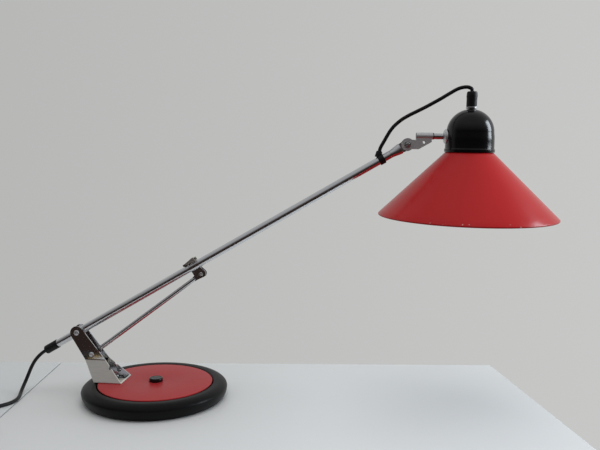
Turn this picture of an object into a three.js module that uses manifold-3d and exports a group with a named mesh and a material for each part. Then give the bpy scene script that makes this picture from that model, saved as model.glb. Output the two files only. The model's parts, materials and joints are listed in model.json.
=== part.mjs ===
// Architect desk lamp: weighted disc base, swivelling turntable with a bent sheet bracket,
// one long chrome arm held by a sliding clutch and strut, and a cone shade on a rolling rod.
// Millimetres, +Z up, origin under the middle of the base, arm along +X.
import * as THREE from "three";
import { mergeGeometries, mergeVertices } from "three/addons/utils/BufferGeometryUtils.js";
import Module from "manifold-3d";

const wasm = await Module();
wasm.setup();

// ---- driving dimensions -------------------------------------------------------------------
const GAP = 0.3; // clearance between touching pieces

const base = {
  radius: 110, height: 23.5, bulge: 14.8, footInset: 5.6, footClear: 1,
  feltRadius: 100, feltThick: 2.3, ballastThick: 10.4, hubRadius: 50,
};
const disc = { radius: 86.5, thick: 2, top: 23.6, rimGap: 1.5 };
const swivel = { shank: 4, head: 7, headHeight: 4.6, nutAcross: 13, nutHeight: 3.2, capRadius: 10.4, capHeight: 5.5 };
const washer = { radius: 22, thick: 1.2 };

const arm = { angle: 30.82, length: 580.7, radius: 6, bore: 5, tail: 58, saddleRoom: 1 };
const sheet = 1.5; // bracket sheet
const bracket = {
  pivotX: -123.2, pivotZ: 96.8, headRadius: 10.2, halfTop: arm.radius + arm.saddleRoom + sheet, halfFloor: 22.5,
  creaseZ: 55.5, creaseBack: -109.5, creaseFront: -77.5, floorBack: -89.4, floorFront: -46.6,
  strutX: -99.5, strutZ: 63.8,
};
const screw = { radius: 2, head: 4, headHeight: 2, x: -68, y: 12, nutHalf: 5, nutHeight: 2.6 };
const pivot = { radius: 2.5, head: 4.2, headHeight: 1.6, tip: 3.5 };
const strutPin = { radius: 2.2, head: 3.8, headHeight: 2 };

const saddle = { radius: 5.6, inner: 0.65 * arm.radius };
const cap = { radius: arm.radius + 0.8, back: 61.2, front: 38.8 };
const flex = { radius: 2.7 };
// along the arm, the grommet and the end fitting are set back from the knuckle
const gland = {
  start: arm.length - 47.7, end: arm.length - 39.2, radius: arm.radius + 1.6, spout: flex.radius + 1.6,
  tipS: arm.length - 40.1, tipN: arm.radius + 6.2, rise: 49.8, spoutLength: 9,
};
const fitting = {
  start: arm.length - 28.7, end: arm.length - 11.2, halfHeight: arm.radius + 2, halfThick: 4.6,
  tongue: 2.5, eye: 8.3, spigot: 7,
};
const knuckle = { radius: 2.5, head: 3.3, headHeight: 1.3, washer: 5, washerThick: 0.8 };

const link = {
  leaf: 1.5, eye: 9.3, neckTop: 6.9, neckBottom: 6.2, sleeveStart: 12.3, sleeveEnd: 36.3,
  sleeveRise: 12.8, wall: 0.8, toeX: 17, noseX: 34.6, noseZ: 4, holeX: 23.9, holeZ: 3.6, hole: 2.2,
};
const rod = { radius: 4.3, shoulder: 4.5, thread: 3, nutRadius: 5.6, nutThick: 3.2, fibre: 0.8 };

const strut = { radius: 3.5, eye: 5, upperFlat: 2.9, lowerFlat: 2.6, flatLength: 14 };
const slider = {
  s: 215.7, n: -arm.radius - 9.9, start: 204.5, end: 220, wall: 1, lug: 1.2, lugGap: strut.upperFlat + 0.4,
  rivet: 1.8, rivetBore: 0.9, rivetHead: 2.9, rivetRim: 0.7, lugRoot: -0.75 * arm.radius, lugNose: 6,
};
const lever = {
  pinS: 199, pinN: arm.radius + 2, pin: 0.7, barrel: 1.5, end: 218.5, rise: arm.radius + 6.4, sheet: 1,
  halfWidth: arm.radius + 2.6, earIn: 3.2, ear: 1.2, flankLow: arm.radius - 3.8, springHalf: 2.5, spring: 0.5,
};

const head = { reach: 90, roll: 4 };
const domeRadius = 34.6;
const dome = {
  radius: domeRadius, top: domeRadius - 0.8, shoulder: 6, lip: domeRadius + 1.4, lipHeight: 4.5, foot: -22.3, wall: 2,
};
const nipple = { radius: flex.radius + 2.3, bore: flex.radius + 0.6, bottom: 25, top: dome.top + dome.shoulder + 10.2 };
const saddlePlate = { thick: 3.6, nose: 6, middle: 9, rim: 11, seat: 3 };
const ring = { radius: nipple.radius + 2.8, thick: 2.9 };
const relief = { radius: nipple.radius + 2.5, topRadius: nipple.radius + 2.1, bulge: 0.3, height: 21.5 };
const shade = {
  top: dome.radius - 0.4, rim: 129, height: 92.4, wall: 0.9, throat: 19.2, bead: 2.4, beadOut: 0.5, beadIn: 1.9,
};
const holder = {
  radius: 18.6, bore: 14, flange: 24, flangeThick: 2.4, neck: 11, top: 20, floor: 10, mouth: -27,
  step: 4, ringThick: 2.6,
};
const bulb = {
  radius: 30, cap: 13.2, capTop: 7, capBottom: -17, length: 80, wall: 1, tip: 5,
  neck: 13.6, neckDrop: 11, swell: 19.5, swellDrop: 24,
};

const cord = { radius: 2.7 };
const coil = { x: -272, y: -143, radius: 35.2, pitch: 2 * cord.radius + 0.2, turns: 7.25, layers: 4 };
const plug = {
  x: -211, y: -178.4, length: 34, halfWidth: 17.4, halfHeight: 6.8, neck: 9, neckRadius: 4.4,
  pin: 2, pinLength: 19, pinDepth: 8, halfApart: 9.3,
};
const toggle = { x: -255, y: -89.8, length: 58, halfWidth: 13, height: 19, split: 10, wall: 1.8, corner: 5,
  cordZ: 8.2, windowLength: 21, windowHalf: 5.4, axle: 1, axleZ: 14.6, tilt: 5 };

// ---- cord routes, chosen by hand and then fitted to the pieces at both ends -------------------
// from the back of the arm down to the table and on to the switch
const cordRoute = [
  [-176.1, 0, 65.3], [-181.4, 0, 61.6], [-187.8, 0, 55.8], [-194, 0, 48.4], [-199.5, 0, 39],
  [-203.6, -0.6, 29.2], [-206.6, -3, 19.6], [-208.4, -8, 11], [-208, -16, 4.9], [-204.6, -26, 2.75],
  [-200.2, -37, 2.7], [-197.4, -49, 2.7], [-198.2, -61, 2.7], [-203.2, -72, 2.7], [-211, -81, 3.2],
  [-219.4, -87, 6], [-225.7, -89.6, 8.2],
];
// from the switch round into the coil
const cordBend = [
  [-284.3, -90, 8.2], [-290, -91.6, 6.4], [-297.4, -96.4, 3.6], [-303.2, -104.4, 2.7],
  [-306.2, -113, 2.7], [-307.3, -121.4, 2.7],
];
// off the top of the coil and down to the plug
const cordTail = [
  [-251, -178.4, 18.8], [-247.2, -178.4, 18.1], [-241.8, -178.4, 16], [-235.6, -178.4, 12.7],
  [-229.6, -178.4, 9.5], [-224.4, -178.4, 7.3], [-220.6, -178.4, 6.8],
];
// from the arm's grommet over the knuckle to the head, in two stretches
const flexLower = [
  [334.9, 384.3], [335.9, 388.4], [338.3, 393.4], [341.4, 399], [345, 405.8], [349.5, 413.6],
  [354.6, 420.4], [360.6, 426.2], [366.8, 431.2], [373.2, 435.2], [379.6, 438.8], [386, 442], [392.2, 445.2],
];
const flexUpper = [
  [392.5, 445.35], [398.6, 448.5], [405, 452], [411.4, 455.7], [417.8, 459.3], [424, 463], [430.2, 466.9],
  [436.4, 470.7], [442.6, 474.4], [448.4, 476.9], [454, 478.1], [459, 478.2], [462.8, 476.9], [465, 474.8], [465.5, 472.2],
];

// ---- shape helpers ----------------------------------------------------------------------------
const RAD = Math.PI / 180;

const bare = (geometry) => {
  const g = geometry.index ? geometry.toNonIndexed() : geometry.clone();
  Object.keys(g.attributes).filter((key) => key !== "position").forEach((key) => g.deleteAttribute(key));
  return mergeVertices(g, 1e-4);
};

const solid = (geometry) => {
  const g = bare(geometry);
  const vertProperties = new Float32Array(g.attributes.position.array);
  const triVerts = new Uint32Array(g.index.array);
  return new wasm.Manifold(new wasm.Mesh({ numProp: 3, vertProperties, triVerts }));
};

const fromSolid = (manifold) => {
  const mesh = manifold.getMesh();
  const g = new THREE.BufferGeometry();
  g.setAttribute("position", new THREE.BufferAttribute(new Float32Array(mesh.vertProperties), 3));
  g.setIndex(new THREE.BufferAttribute(new Uint32Array(mesh.triVerts), 1));
  return g;
};

const join = (first, ...rest) => fromSolid(rest.reduce((sum, g) => sum.add(solid(g)), solid(first)));
const cut = (first, ...rest) => fromSolid(rest.reduce((sum, g) => sum.subtract(solid(g)), solid(first)));
const common = (first, second) => fromSolid(solid(first).intersect(solid(second)));

// twice the signed area inside a loop of points
const turning = (points) => points.reduce((sum, [u, v], i) => {
  const [nextU, nextV] = points[(i + 1) % points.length];
  return sum + u * nextV - v * nextU;
}, 0);
// solid of revolution about Z from [radius, height] points, turned so that its faces point out
const lathe = (points, segments = 20) => {
  const round = turning(points) > 0 ? points : points.slice().reverse();
  const g = new THREE.LatheGeometry(round.map(([r, z]) => new THREE.Vector2(r, z)), segments);
  return g.rotateX(Math.PI / 2);
};
const latheLoop = (points, segments = 20) => lathe([...points, points[0]], segments);
const drum = (radius, low, high, segments = 20) =>
  lathe([[0, low], [radius, low], [radius, high], [0, high]], segments);
const tube = (radius, bore, low, high, segments = 20) =>
  latheLoop([[bore, low], [radius, low], [radius, high], [bore, high]], segments);

const alongX = (g) => g.rotateY(Math.PI / 2);
const alongY = (g) => g.rotateX(-Math.PI / 2);
const at = (g, x, y, z) => g.translate(x, y, z);
const box = (x0, x1, y0, y1, z0, z1) =>
  at(new THREE.BoxGeometry(x1 - x0, y1 - y0, z1 - z0), (x0 + x1) / 2, (y0 + y1) / 2, (z0 + z1) / 2);

const outline = (points) => new THREE.Shape(points.map(([u, v]) => new THREE.Vector2(u, v)));
// an outline in X and Z, given thickness along Y
const slabY = (points, y0, y1) => {
  const g = new THREE.ExtrudeGeometry(outline(points), { depth: y1 - y0, bevelEnabled: false });
  return at(g.rotateX(Math.PI / 2), 0, y1, 0);
};
// an outline in Y and Z, given length along X
const slabX = (points, x0, x1) => {
  const g = new THREE.ExtrudeGeometry(outline(points), { depth: x1 - x0, bevelEnabled: false });
  const turn = new THREE.Matrix4().makeBasis(
    new THREE.Vector3(0, 1, 0), new THREE.Vector3(0, 0, 1), new THREE.Vector3(1, 0, 0));
  return at(g.applyMatrix4(turn), x0, 0, 0);
};
// an outline in X and Y, given height along Z
const slabZ = (points, z0, z1) =>
  at(new THREE.ExtrudeGeometry(outline(points), { depth: z1 - z0, bevelEnabled: false }), 0, 0, z0);

const arc = (cx, cy, radius, from, to, count) => Array.from({ length: count + 1 }, (_, i) => {
  const angle = (from + ((to - from) * i) / count) * RAD;
  return [cx + radius * Math.cos(angle), cy + radius * Math.sin(angle)];
});
const hexagon = (across) => arc(0, 0, across / Math.sqrt(3), 0, 300, 5);

// a route with its two ends moved to the given points and the rest drawn along with them
const routed = (points, from, to) => points.map((point, i) => point.map((value, axis) => {
  const share = i / (points.length - 1);
  const shiftFrom = from[axis] - points[0][axis];
  const shiftTo = to[axis] - points[points.length - 1][axis];
  return value + shiftFrom * (1 - share) + shiftTo * share;
}));

const sweep = (points, radius, sides, steps) => {
  const curve = new THREE.CatmullRomCurve3(points.map(([x, y, z]) => new THREE.Vector3(x, y, z)));
  const section = outline(arc(0, 0, radius, 0, 360 - 360 / sides, sides - 1));
  return new THREE.ExtrudeGeometry(section, { steps, bevelEnabled: false, extrudePath: curve });
};

// where a line from an outside point touches a circle; side is +1 or -1
const touch = ([px, pz], [cx, cz], radius, side) => {
  const distance = Math.hypot(px - cx, pz - cz);
  const toward = Math.atan2(pz - cz, px - cx);
  return (toward + side * Math.acos(radius / distance)) / RAD;
};

// ---- materials ----------------------------------------------------------------------------------
const finish = (color, roughness, metalness) => new THREE.MeshStandardMaterial({ color, roughness, metalness });
const looks = {
  red: finish(0xb03a3c, 0.35, 0.1),
  black: finish(0x161616, 0.4, 0.1),
  gloss: finish(0x0c0c0d, 0.18, 0),
  rubber: finish(0x121212, 0.7, 0),
  chrome: finish(0xc9ccd0, 0.12, 1),
  steel: finish(0x8f9296, 0.35, 1),
  iron: finish(0x3a3a3a, 0.7, 0.8),
  brass: finish(0xb08d4a, 0.3, 1),
  nylon: finish(0xe6e2d6, 0.5, 0),
  felt: finish(0x23262a, 0.95, 0),
  ceramic: finish(0xe9e6de, 0.4, 0),
  glass: finish(0xf4f2ec, 0.2, 0),
};

const lamp = new THREE.Group();
const piece = (parent, name, look, geometry) => {
  const mesh = new THREE.Mesh(geometry, looks[look]);
  mesh.name = name;
  parent.add(mesh);
  return mesh;
};

// ---- base: felt, rim ring, ballast and the swivel bolt -------------------------------------------
const feltTop = base.feltThick;
const ballastLow = feltTop + GAP;
const ballastTop = ballastLow + base.ballastThick;
const hubTop = disc.top - disc.thick - washer.thick - 2 * GAP;
const ringBore = disc.radius + disc.rimGap;
const ballastRadius = ringBore - GAP;

piece(lamp, "felt_pad", "felt", drum(base.feltRadius, 0, feltTop, 40));

const crownRadius = base.radius - 14;
piece(lamp, "base_ring", "black", latheLoop([
  [ringBore, ballastLow], [base.feltRadius + 0.6, ballastLow], [base.feltRadius + 0.6, base.footClear],
  [base.radius - base.footInset, base.footClear], [base.radius - 2.6, base.footClear + 4],
  [base.radius - 0.7, base.bulge - 5],
  ...arc(0, 0, 1, 0, 90, 6).map(([u, v]) => [
    crownRadius + (base.radius - crownRadius) * u, base.bulge + (base.height - base.bulge) * v]),
  [ringBore + 2, base.height - 0.3], [ringBore, base.height - 1.6],
], 44));

piece(lamp, "ballast_weight", "iron", latheLoop([
  [swivel.shank + GAP, hubTop], [base.hubRadius, hubTop], [base.hubRadius, ballastTop],
  [ballastRadius, ballastTop], [ballastRadius, ballastLow], [swivel.head + 1, ballastLow],
  [swivel.head + 1, ballastLow + swivel.headHeight + 2 * GAP],
  [swivel.shank + GAP, ballastLow + swivel.headHeight + 2 * GAP],
], 40));

const nutLow = disc.top + GAP;
const boltTop = nutLow + swivel.nutHeight + 0.8;
piece(lamp, "swivel_bolt", "steel", lathe([
  [0, ballastLow + GAP], [swivel.head, ballastLow + GAP], [swivel.head, ballastLow + GAP + swivel.headHeight],
  [swivel.shank, ballastLow + GAP + swivel.headHeight], [swivel.shank, boltTop], [0, boltTop],
], 24));
piece(lamp, "thrust_washer", "nylon",
  tube(washer.radius, swivel.shank + GAP, hubTop + GAP, hubTop + GAP + washer.thick, 32));
const swivelBore = drum(swivel.shank + GAP, 0, 60, 24);
piece(lamp, "swivel_nut", "steel",
  cut(slabZ(hexagon(swivel.nutAcross), nutLow, nutLow + swivel.nutHeight), swivelBore));

const capRoom = swivel.nutAcross / Math.sqrt(3) + GAP;
const capTop = disc.top + swivel.capHeight + GAP;
piece(lamp, "centre_cap", "gloss", lathe([
  [0, capTop], ...arc(swivel.capRadius - 2, capTop - 2, 2, 90, 0, 4),
  [swivel.capRadius, disc.top + GAP], [capRoom, disc.top + GAP], [capRoom, boltTop + GAP], [0, boltTop + GAP],
], 24));

// ---- turntable: disc, bracket and its fixings ------------------------------------------------------
const turntable = new THREE.Group();
lamp.add(turntable);

const screwSpots = [["near", -screw.y], ["far", screw.y]];
const screwHole = (y) => at(drum(screw.radius + GAP, 0, 60, 16), screw.x, y, 0);
piece(turntable, "turntable_disc", "red", cut(
  lathe([
    [0, disc.top - disc.thick], [disc.radius - 0.6, disc.top - disc.thick], [disc.radius, disc.top - 1.4],
    [disc.radius, disc.top - 0.6], [disc.radius - 0.6, disc.top], [0, disc.top],
  ], 48),
  swivelBore, ...screwSpots.map(([, y]) => screwHole(y))));

const floorZ = disc.top + GAP;
const flareX = bracket.halfFloor - bracket.halfTop;
const flareZ = bracket.creaseZ - floorZ;
const flare = Math.hypot(flareX, flareZ);
// the inside of the flared wall is the outside moved in by the sheet
const insideY = (z) => bracket.halfTop + (flareX * (bracket.creaseZ - z)) / flareZ - (sheet * flare) / flareZ;
const insideTop = bracket.halfTop - sheet;
const insideCrease = bracket.creaseZ - ((insideTop - insideY(bracket.creaseZ)) * flareZ) / flareX;
const wallTop = bracket.pivotZ + bracket.headRadius + 5;
const sheetTop = floorZ + sheet;
const halfOuter = [[bracket.halfTop, wallTop], [bracket.halfTop, bracket.creaseZ], [bracket.halfFloor, floorZ]];
const halfInner = [[insideTop, wallTop], [insideTop, insideCrease], [insideY(sheetTop), sheetTop]];
const mirror = ([y, z]) => [-y, z];
const channel = slabX([
  ...halfOuter, ...halfOuter.map(mirror).reverse(), ...halfInner.map(mirror), ...halfInner.slice().reverse(),
], -160, -20);

const pivotPoint = [bracket.pivotX, bracket.pivotZ];
const creaseFront = [bracket.creaseFront, bracket.creaseZ];
const creaseBack = [bracket.creaseBack, bracket.creaseZ];
const frontTouch = touch(creaseFront, pivotPoint, bracket.headRadius, 1);
const backTouch = touch(creaseBack, pivotPoint, bracket.headRadius, -1);
const side = slabY([
  ...arc(...pivotPoint, bracket.headRadius, frontTouch, backTouch + 360, 14), creaseBack,
  [bracket.floorBack, floorZ - 1], [bracket.floorFront, floorZ - 1], creaseFront,
], -40, 40);
const crossHole = (radius, x, z) => at(alongY(drum(radius, -40, 40, 20)), x, 0, z);
piece(turntable, "arm_bracket", "chrome", cut(
  common(channel, side),
  crossHole(pivot.radius + GAP, ...pivotPoint),
  crossHole(strutPin.radius + GAP, bracket.strutX, bracket.strutZ),
  ...screwSpots.map(([, y]) => screwHole(y))));

const screwTop = sheetTop + GAP;
const screwLow = disc.top - disc.thick - GAP - screw.nutHeight - 1;
screwSpots.forEach(([name, y]) => {
  piece(turntable, `bracket_screw_${name}`, "steel", at(lathe([
    [0, screwLow], [screw.radius, screwLow], [screw.radius, screwTop], [screw.head, screwTop],
    [screw.head * 0.8, screwTop + screw.headHeight * 0.7], [0, screwTop + screw.headHeight],
  ], 20), screw.x, y, 0));
});
const nutTop = disc.top - disc.thick - GAP;
piece(turntable, "bracket_nut_plate", "steel", cut(
  box(screw.x - screw.nutHalf, screw.x + screw.nutHalf, -screw.y - screw.nutHalf, screw.y + screw.nutHalf,
    nutTop - screw.nutHeight, nutTop),
  ...screwSpots.map(([, y]) => screwHole(y))));

// a headed pin along Y; the head lies outside the bracket wall and the tip points inwards
const headedPin = (size, sign, tip, x, z) => {
  const face = bracket.halfTop + GAP;
  const pin = lathe([
    [0, tip], [size.radius, tip], [size.radius, face], [size.head, face],
    [size.head * 0.85, face + size.headHeight * 0.65], [size.head * 0.45, face + size.headHeight],
    [0, face + size.headHeight],
  ], 20);
  return at(sign > 0 ? pin.rotateX(-Math.PI / 2) : pin.rotateX(Math.PI / 2), x, 0, z);
};
[["near", -1], ["far", 1]].forEach(([name, sign]) => {
  piece(turntable, `pivot_screw_${name}`, "chrome", headedPin(pivot, sign, pivot.tip, ...pivotPoint));
  piece(turntable, `strut_pin_${name}`, "chrome",
    headedPin(strutPin, sign, strut.lowerFlat + 2 * GAP, bracket.strutX, bracket.strutZ));
});

// ---- arm: everything along the tube, in its own axes (X along the tube, Z across it) -----------------
const armFrame = new THREE.Group();
armFrame.position.set(bracket.pivotX, 0, bracket.pivotZ);
armFrame.rotation.y = -arm.angle * RAD;
lamp.add(armFrame);

const slotBack = gland.start - 2.5;
const slotFront = gland.end - 0.5;
const armBar = (radius, from, to, segments = 28) => alongX(drum(radius, from, to, segments));
piece(armFrame, "arm_tube", "chrome", cut(
  alongX(tube(arm.radius, arm.bore, -arm.tail, fitting.start, 28)),
  alongY(drum(pivot.radius + GAP, -20, 20, 20)),
  box(slotBack, slotFront, -flex.radius - GAP, flex.radius + GAP, 0, arm.radius + 2)));

piece(armFrame, "tail_cap", "rubber", alongX(latheLoop([
  [arm.radius + GAP, -cap.front], [arm.radius + GAP, -arm.tail - GAP], [flex.radius + GAP, -arm.tail - GAP],
  [flex.radius + GAP, -cap.back], [cap.radius - 1.6, -cap.back], [cap.radius - 0.5, -cap.back + 0.5],
  [cap.radius, -cap.back + 1.6], [cap.radius, -cap.front - 0.5], [cap.radius - 0.3, -cap.front],
], 28)));

// washers with one side hollowed to sit on the round tube
const saddleFace = insideTop - GAP;
[["near", -1], ["far", 1]].forEach(([name, sign]) => {
  const blank = alongY(drum(saddle.radius, saddle.inner, saddleFace, 28));
  const washer = cut(
    sign > 0 ? blank : blank.rotateZ(Math.PI), armBar(arm.radius + GAP, -20, 20),
    alongY(drum(pivot.radius + GAP, -20, 20, 20)));
  piece(armFrame, `pivot_saddle_${name}`, "nylon", washer);
});

const spoutTip = [gland.tipS, gland.tipN];
const spoutWay = [Math.cos(gland.rise * RAD), Math.sin(gland.rise * RAD)];
const spoutAt = (back) => [spoutTip[0] - spoutWay[0] * back, spoutTip[1] - spoutWay[1] * back];
const spoutTurn = (g) => at(g.rotateY((90 - gland.rise) * RAD), spoutTip[0], 0, spoutTip[1]);
piece(armFrame, "cable_grommet", "rubber", cut(
  join(
    alongX(drum(gland.radius, gland.start, gland.end, 28)),
    spoutTurn(lathe([
      [0, -gland.spoutLength], [gland.spout + 0.9, -gland.spoutLength], [gland.spout + 0.5, -3.5],
      [gland.spout - 0.4, 0], [0, 0],
    ], 20))),
  armBar(arm.radius + GAP, gland.start - 9, gland.end + 9, 28),
  spoutTurn(drum(flex.radius + GAP, -14, 3, 20))));

const bendStart = gland.start - 9;
const leadOut = [spoutAt(gland.spoutLength), spoutAt(5), spoutAt(GAP / 2)].map(([s, n]) => [s, 0, n]);
piece(armFrame, "inner_flex", "rubber", join(
  armBar(flex.radius, GAP / 2 - cap.back, bendStart, 8),
  sweep([[bendStart - 3, 0, 0], [bendStart, 0, 0], [bendStart + 6.6, 0, 0.5], ...leadOut], flex.radius, 8, 9)));

// the round tube end flattens sideways into the knuckle
const swellGrid = alongX(lathe([
  [0, fitting.start + GAP], ...[0, 0.25, 0.5, 0.75, 1].map(
    (t) => [1, fitting.start + GAP + (fitting.end - fitting.start - GAP) * t]),
  [0, fitting.end],
], 24));
const grid = swellGrid.attributes.position;
for (let i = 0; i < grid.count; i += 1) {
  const t = (grid.getX(i) - fitting.start) / (fitting.end - fitting.start);
  const ease = t * t * (3 - 2 * t);
  grid.setY(i, grid.getY(i) * (arm.radius + (fitting.halfThick - arm.radius) * ease));
  grid.setZ(i, grid.getZ(i) * (arm.radius + (fitting.halfHeight - arm.radius) * ease));
}
const tongueRoot = fitting.end - 3;
const tongue = slabY([
  ...arc(arm.length, 0, fitting.eye, -90, 90, 12), [tongueRoot, fitting.eye - 1.6], [tongueRoot, 1.6 - fitting.eye],
], -fitting.tongue, fitting.tongue);
piece(armFrame, "arm_end", "chrome", cut(
  join(swellGrid, armBar(arm.bore - GAP, fitting.start - fitting.spigot, fitting.start + 1, 28), tongue),
  at(alongY(drum(knuckle.radius + GAP, -20, 20, 20)), arm.length, 0, 0)));

const leafIn = fitting.tongue + GAP;
const leafOut = leafIn + link.leaf;
const washerOut = leafOut + GAP + knuckle.washerThick;
const rivetFace = washerOut + GAP;
piece(armFrame, "knuckle_rivet", "steel", at(alongY(lathe([
  [0, -rivetFace - knuckle.headHeight], [knuckle.head * 0.6, -rivetFace - knuckle.headHeight],
  [knuckle.head, -rivetFace - 0.4], [knuckle.head, -rivetFace], [knuckle.radius, -rivetFace],
  [knuckle.radius, rivetFace], [knuckle.head, rivetFace], [knuckle.head, rivetFace + 0.4],
  [knuckle.head * 0.6, rivetFace + knuckle.headHeight], [0, rivetFace + knuckle.headHeight],
], 20)), arm.length, 0, 0));

// ---- slider clutch on the tube ---------------------------------------------------------------------------
const sleeveOut = arm.radius + GAP + slider.wall;
const lugOut = slider.lugGap + slider.lug;
const lugOutline = [
  [slider.start + 0.6, slider.lugRoot], [slider.start + 0.9, slider.n - 3.4], [slider.start + 2.6, slider.n - 5],
  ...arc(slider.s + 1.6, slider.n, slider.lugNose, -80, 20, 7), [slider.end - 0.4, slider.lugRoot],
];
const lugs = [-1, 1].map((sign) => {
  const [a, b] = [sign * slider.lugGap, sign * lugOut];
  return slabY(lugOutline, Math.min(a, b), Math.max(a, b));
});
const earIn = lever.earIn;
const earOut = earIn + lever.ear;
const ears = [-1, 1].map((sign) => {
  const [a, b] = [sign * earIn, sign * earOut];
  return slabY([
    ...arc(lever.pinS, lever.pinN, lever.barrel + 0.2, 100, 260, 8), [lever.pinS + 1, arm.radius * 0.9],
    [slider.start + 2, arm.radius * 0.9], [slider.start + 2, arm.radius + GAP + slider.wall * 0.6],
  ], Math.min(a, b), Math.max(a, b));
});
piece(armFrame, "slider_clip", "chrome", cut(
  join(armBar(sleeveOut, slider.start, slider.end, 28), ...lugs, ...ears),
  armBar(arm.radius + GAP, slider.start - 20, slider.end + 20, 36),
  at(alongY(drum(slider.rivet + GAP, -20, 20, 16)), slider.s, 0, slider.n),
  at(alongY(drum(lever.pin + GAP, -20, 20, 12)), lever.pinS, 0, lever.pinN)));

const rivetOut = lugOut + GAP;
const rivetEnd = rivetOut + slider.rivetRim;
piece(armFrame, "slider_rivet", "steel", at(alongY(latheLoop([
  [slider.rivetBore, -rivetEnd], [slider.rivetHead - 0.4, -rivetEnd], [slider.rivetHead, -rivetOut],
  [slider.rivet, -rivetOut], [slider.rivet, rivetOut], [slider.rivetHead, rivetOut],
  [slider.rivetHead - 0.4, rivetEnd], [slider.rivetBore, rivetEnd],
], 20)), slider.s, 0, slider.n));
piece(armFrame, "lever_pin", "steel",
  at(alongY(drum(lever.pin, -earOut - 0.6, earOut + 0.6, 12)), lever.pinS, 0, lever.pinN));

// thumb lever: web over the sleeve, two flanks beside it and a barrel on the pin
const webLow = [lever.pinS, lever.pinN + lever.barrel - lever.sheet];
const web = slabY([
  [webLow[0], webLow[1]], [lever.end, lever.rise - lever.sheet], [lever.end, lever.rise],
  [webLow[0], webLow[1] + lever.sheet],
], -lever.halfWidth, lever.halfWidth);
const narrow = [-1, 1].map((sign) => {
  const [a, b] = [sign * (earIn - GAP), sign * 20];
  return box(lever.pinS - 4, slider.start - 1, Math.min(a, b), Math.max(a, b), 0, 30);
});
const flanks = [-1, 1].map((sign) => {
  const [a, b] = [sign * (lever.halfWidth - lever.sheet), sign * lever.halfWidth];
  return slabY([
    [slider.start - 1, arm.radius + 0.6], [lever.end + 1.2, lever.flankLow], [lever.end, lever.rise - 0.2],
    [slider.start - 1, webLow[1] + 1.2],
  ], Math.min(a, b), Math.max(a, b));
});
const leverBarrel = at(alongY(drum(lever.barrel, GAP - earIn, earIn - GAP, 16)), lever.pinS, 0, lever.pinN);
piece(armFrame, "clutch_lever", "chrome", cut(
  join(fromSolid(narrow.reduce((sum, g) => sum.subtract(solid(g)), solid(web))), ...flanks, leverBarrel),
  at(alongY(drum(lever.pin + GAP, -20, 20, 12)), lever.pinS, 0, lever.pinN)));

// leaf spring that lifts the lever off the sleeve
const springFoot = sleeveOut + GAP;
const springTop = springFoot + lever.spring;
piece(armFrame, "lever_spring", "steel", slabY([
  [slider.start + 2, springFoot], [slider.start + 7, springFoot], [slider.end - 4.5, springFoot + 1.9],
  [slider.end - 4.7, springTop + 1.9], [slider.start + 6.8, springTop], [slider.start + 2, springTop],
], -lever.springHalf, lever.springHalf));

// ---- strut from the bracket to the slider -------------------------------------------------------------------
const armCos = Math.cos(arm.angle * RAD);
const armSin = Math.sin(arm.angle * RAD);
const onArm = (s, n) => [bracket.pivotX + s * armCos - n * armSin, bracket.pivotZ + s * armSin + n * armCos];
const strutTop = onArm(slider.s, slider.n);
const strutRun = [strutTop[0] - bracket.strutX, strutTop[1] - bracket.strutZ];
const strutLength = Math.hypot(...strutRun);
const strutFrame = new THREE.Group();
strutFrame.position.set(bracket.strutX, 0, bracket.strutZ);
strutFrame.rotation.y = -Math.atan2(strutRun[1], strutRun[0]);
lamp.add(strutFrame);
const flatEnd = (x, direction, half) => {
  const reach = x + direction * strut.flatLength;
  const bow = arc(x, 0, strut.eye, direction > 0 ? 90 : -90, direction > 0 ? 270 : 90, 12);
  return slabY([...bow, [reach, -direction * strut.radius], [reach, direction * strut.radius]], -half, half);
};
piece(strutFrame, "strut_rod", "chrome", cut(
  join(
    alongX(drum(strut.radius, strut.flatLength - 2, strutLength - strut.flatLength + 2, 20)),
    flatEnd(0, 1, strut.lowerFlat), flatEnd(strutLength, -1, strut.upperFlat)),
  at(alongY(drum(slider.rivet + GAP, -20, 20, 16)), strutLength, 0, 0)));

// ---- link from the knuckle to the rolling rod ------------------------------------------------------------------
const knucklePoint = onArm(arm.length, 0);
const rodZ = knucklePoint[1] + link.sleeveRise;
const linkFrame = new THREE.Group();
linkFrame.position.set(knucklePoint[0], 0, knucklePoint[1]);
lamp.add(linkFrame);

const sleeveBore = rod.radius + GAP;
const sleeveWall = sleeveBore + link.wall;
const leafOutline = [
  ...arc(0, 0, link.eye, Math.asin(link.neckTop / link.eye) / RAD, 360 - Math.asin(link.neckBottom / link.eye) / RAD, 22),
  [link.toeX, -link.neckBottom], [link.noseX, link.noseZ], [link.noseX, link.sleeveRise - 2.4],
  [link.sleeveStart, link.sleeveRise - 2.4], [link.sleeveStart, link.neckTop],
];
const leaves = [-1, 1].map((sign) => {
  const [a, b] = [sign * leafIn, sign * leafOut];
  return slabY(leafOutline, Math.min(a, b), Math.max(a, b));
});
const onRod = (g) => at(alongX(g), 0, 0, link.sleeveRise);
piece(linkFrame, "head_link", "chrome", cut(
  join(onRod(drum(sleeveWall, link.sleeveStart, link.sleeveEnd, 32)), ...leaves),
  onRod(drum(sleeveBore, 0, 60, 32)),
  box(0, 60, -leafIn, leafIn, 0, link.sleeveRise),
  alongY(drum(knuckle.radius + GAP, -20, 20, 20)),
  at(alongY(drum(link.hole, -20, 20, 16)), link.holeX, 0, link.holeZ)));
[["near", -1], ["far", 1]].forEach(([name, sign]) => {
  const low = sign > 0 ? leafOut + GAP : -washerOut;
  piece(linkFrame, `knuckle_washer_${name}`, "steel",
    alongY(tube(knuckle.washer, knuckle.radius + GAP, low, low + knuckle.washerThick, 24)));
});

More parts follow.
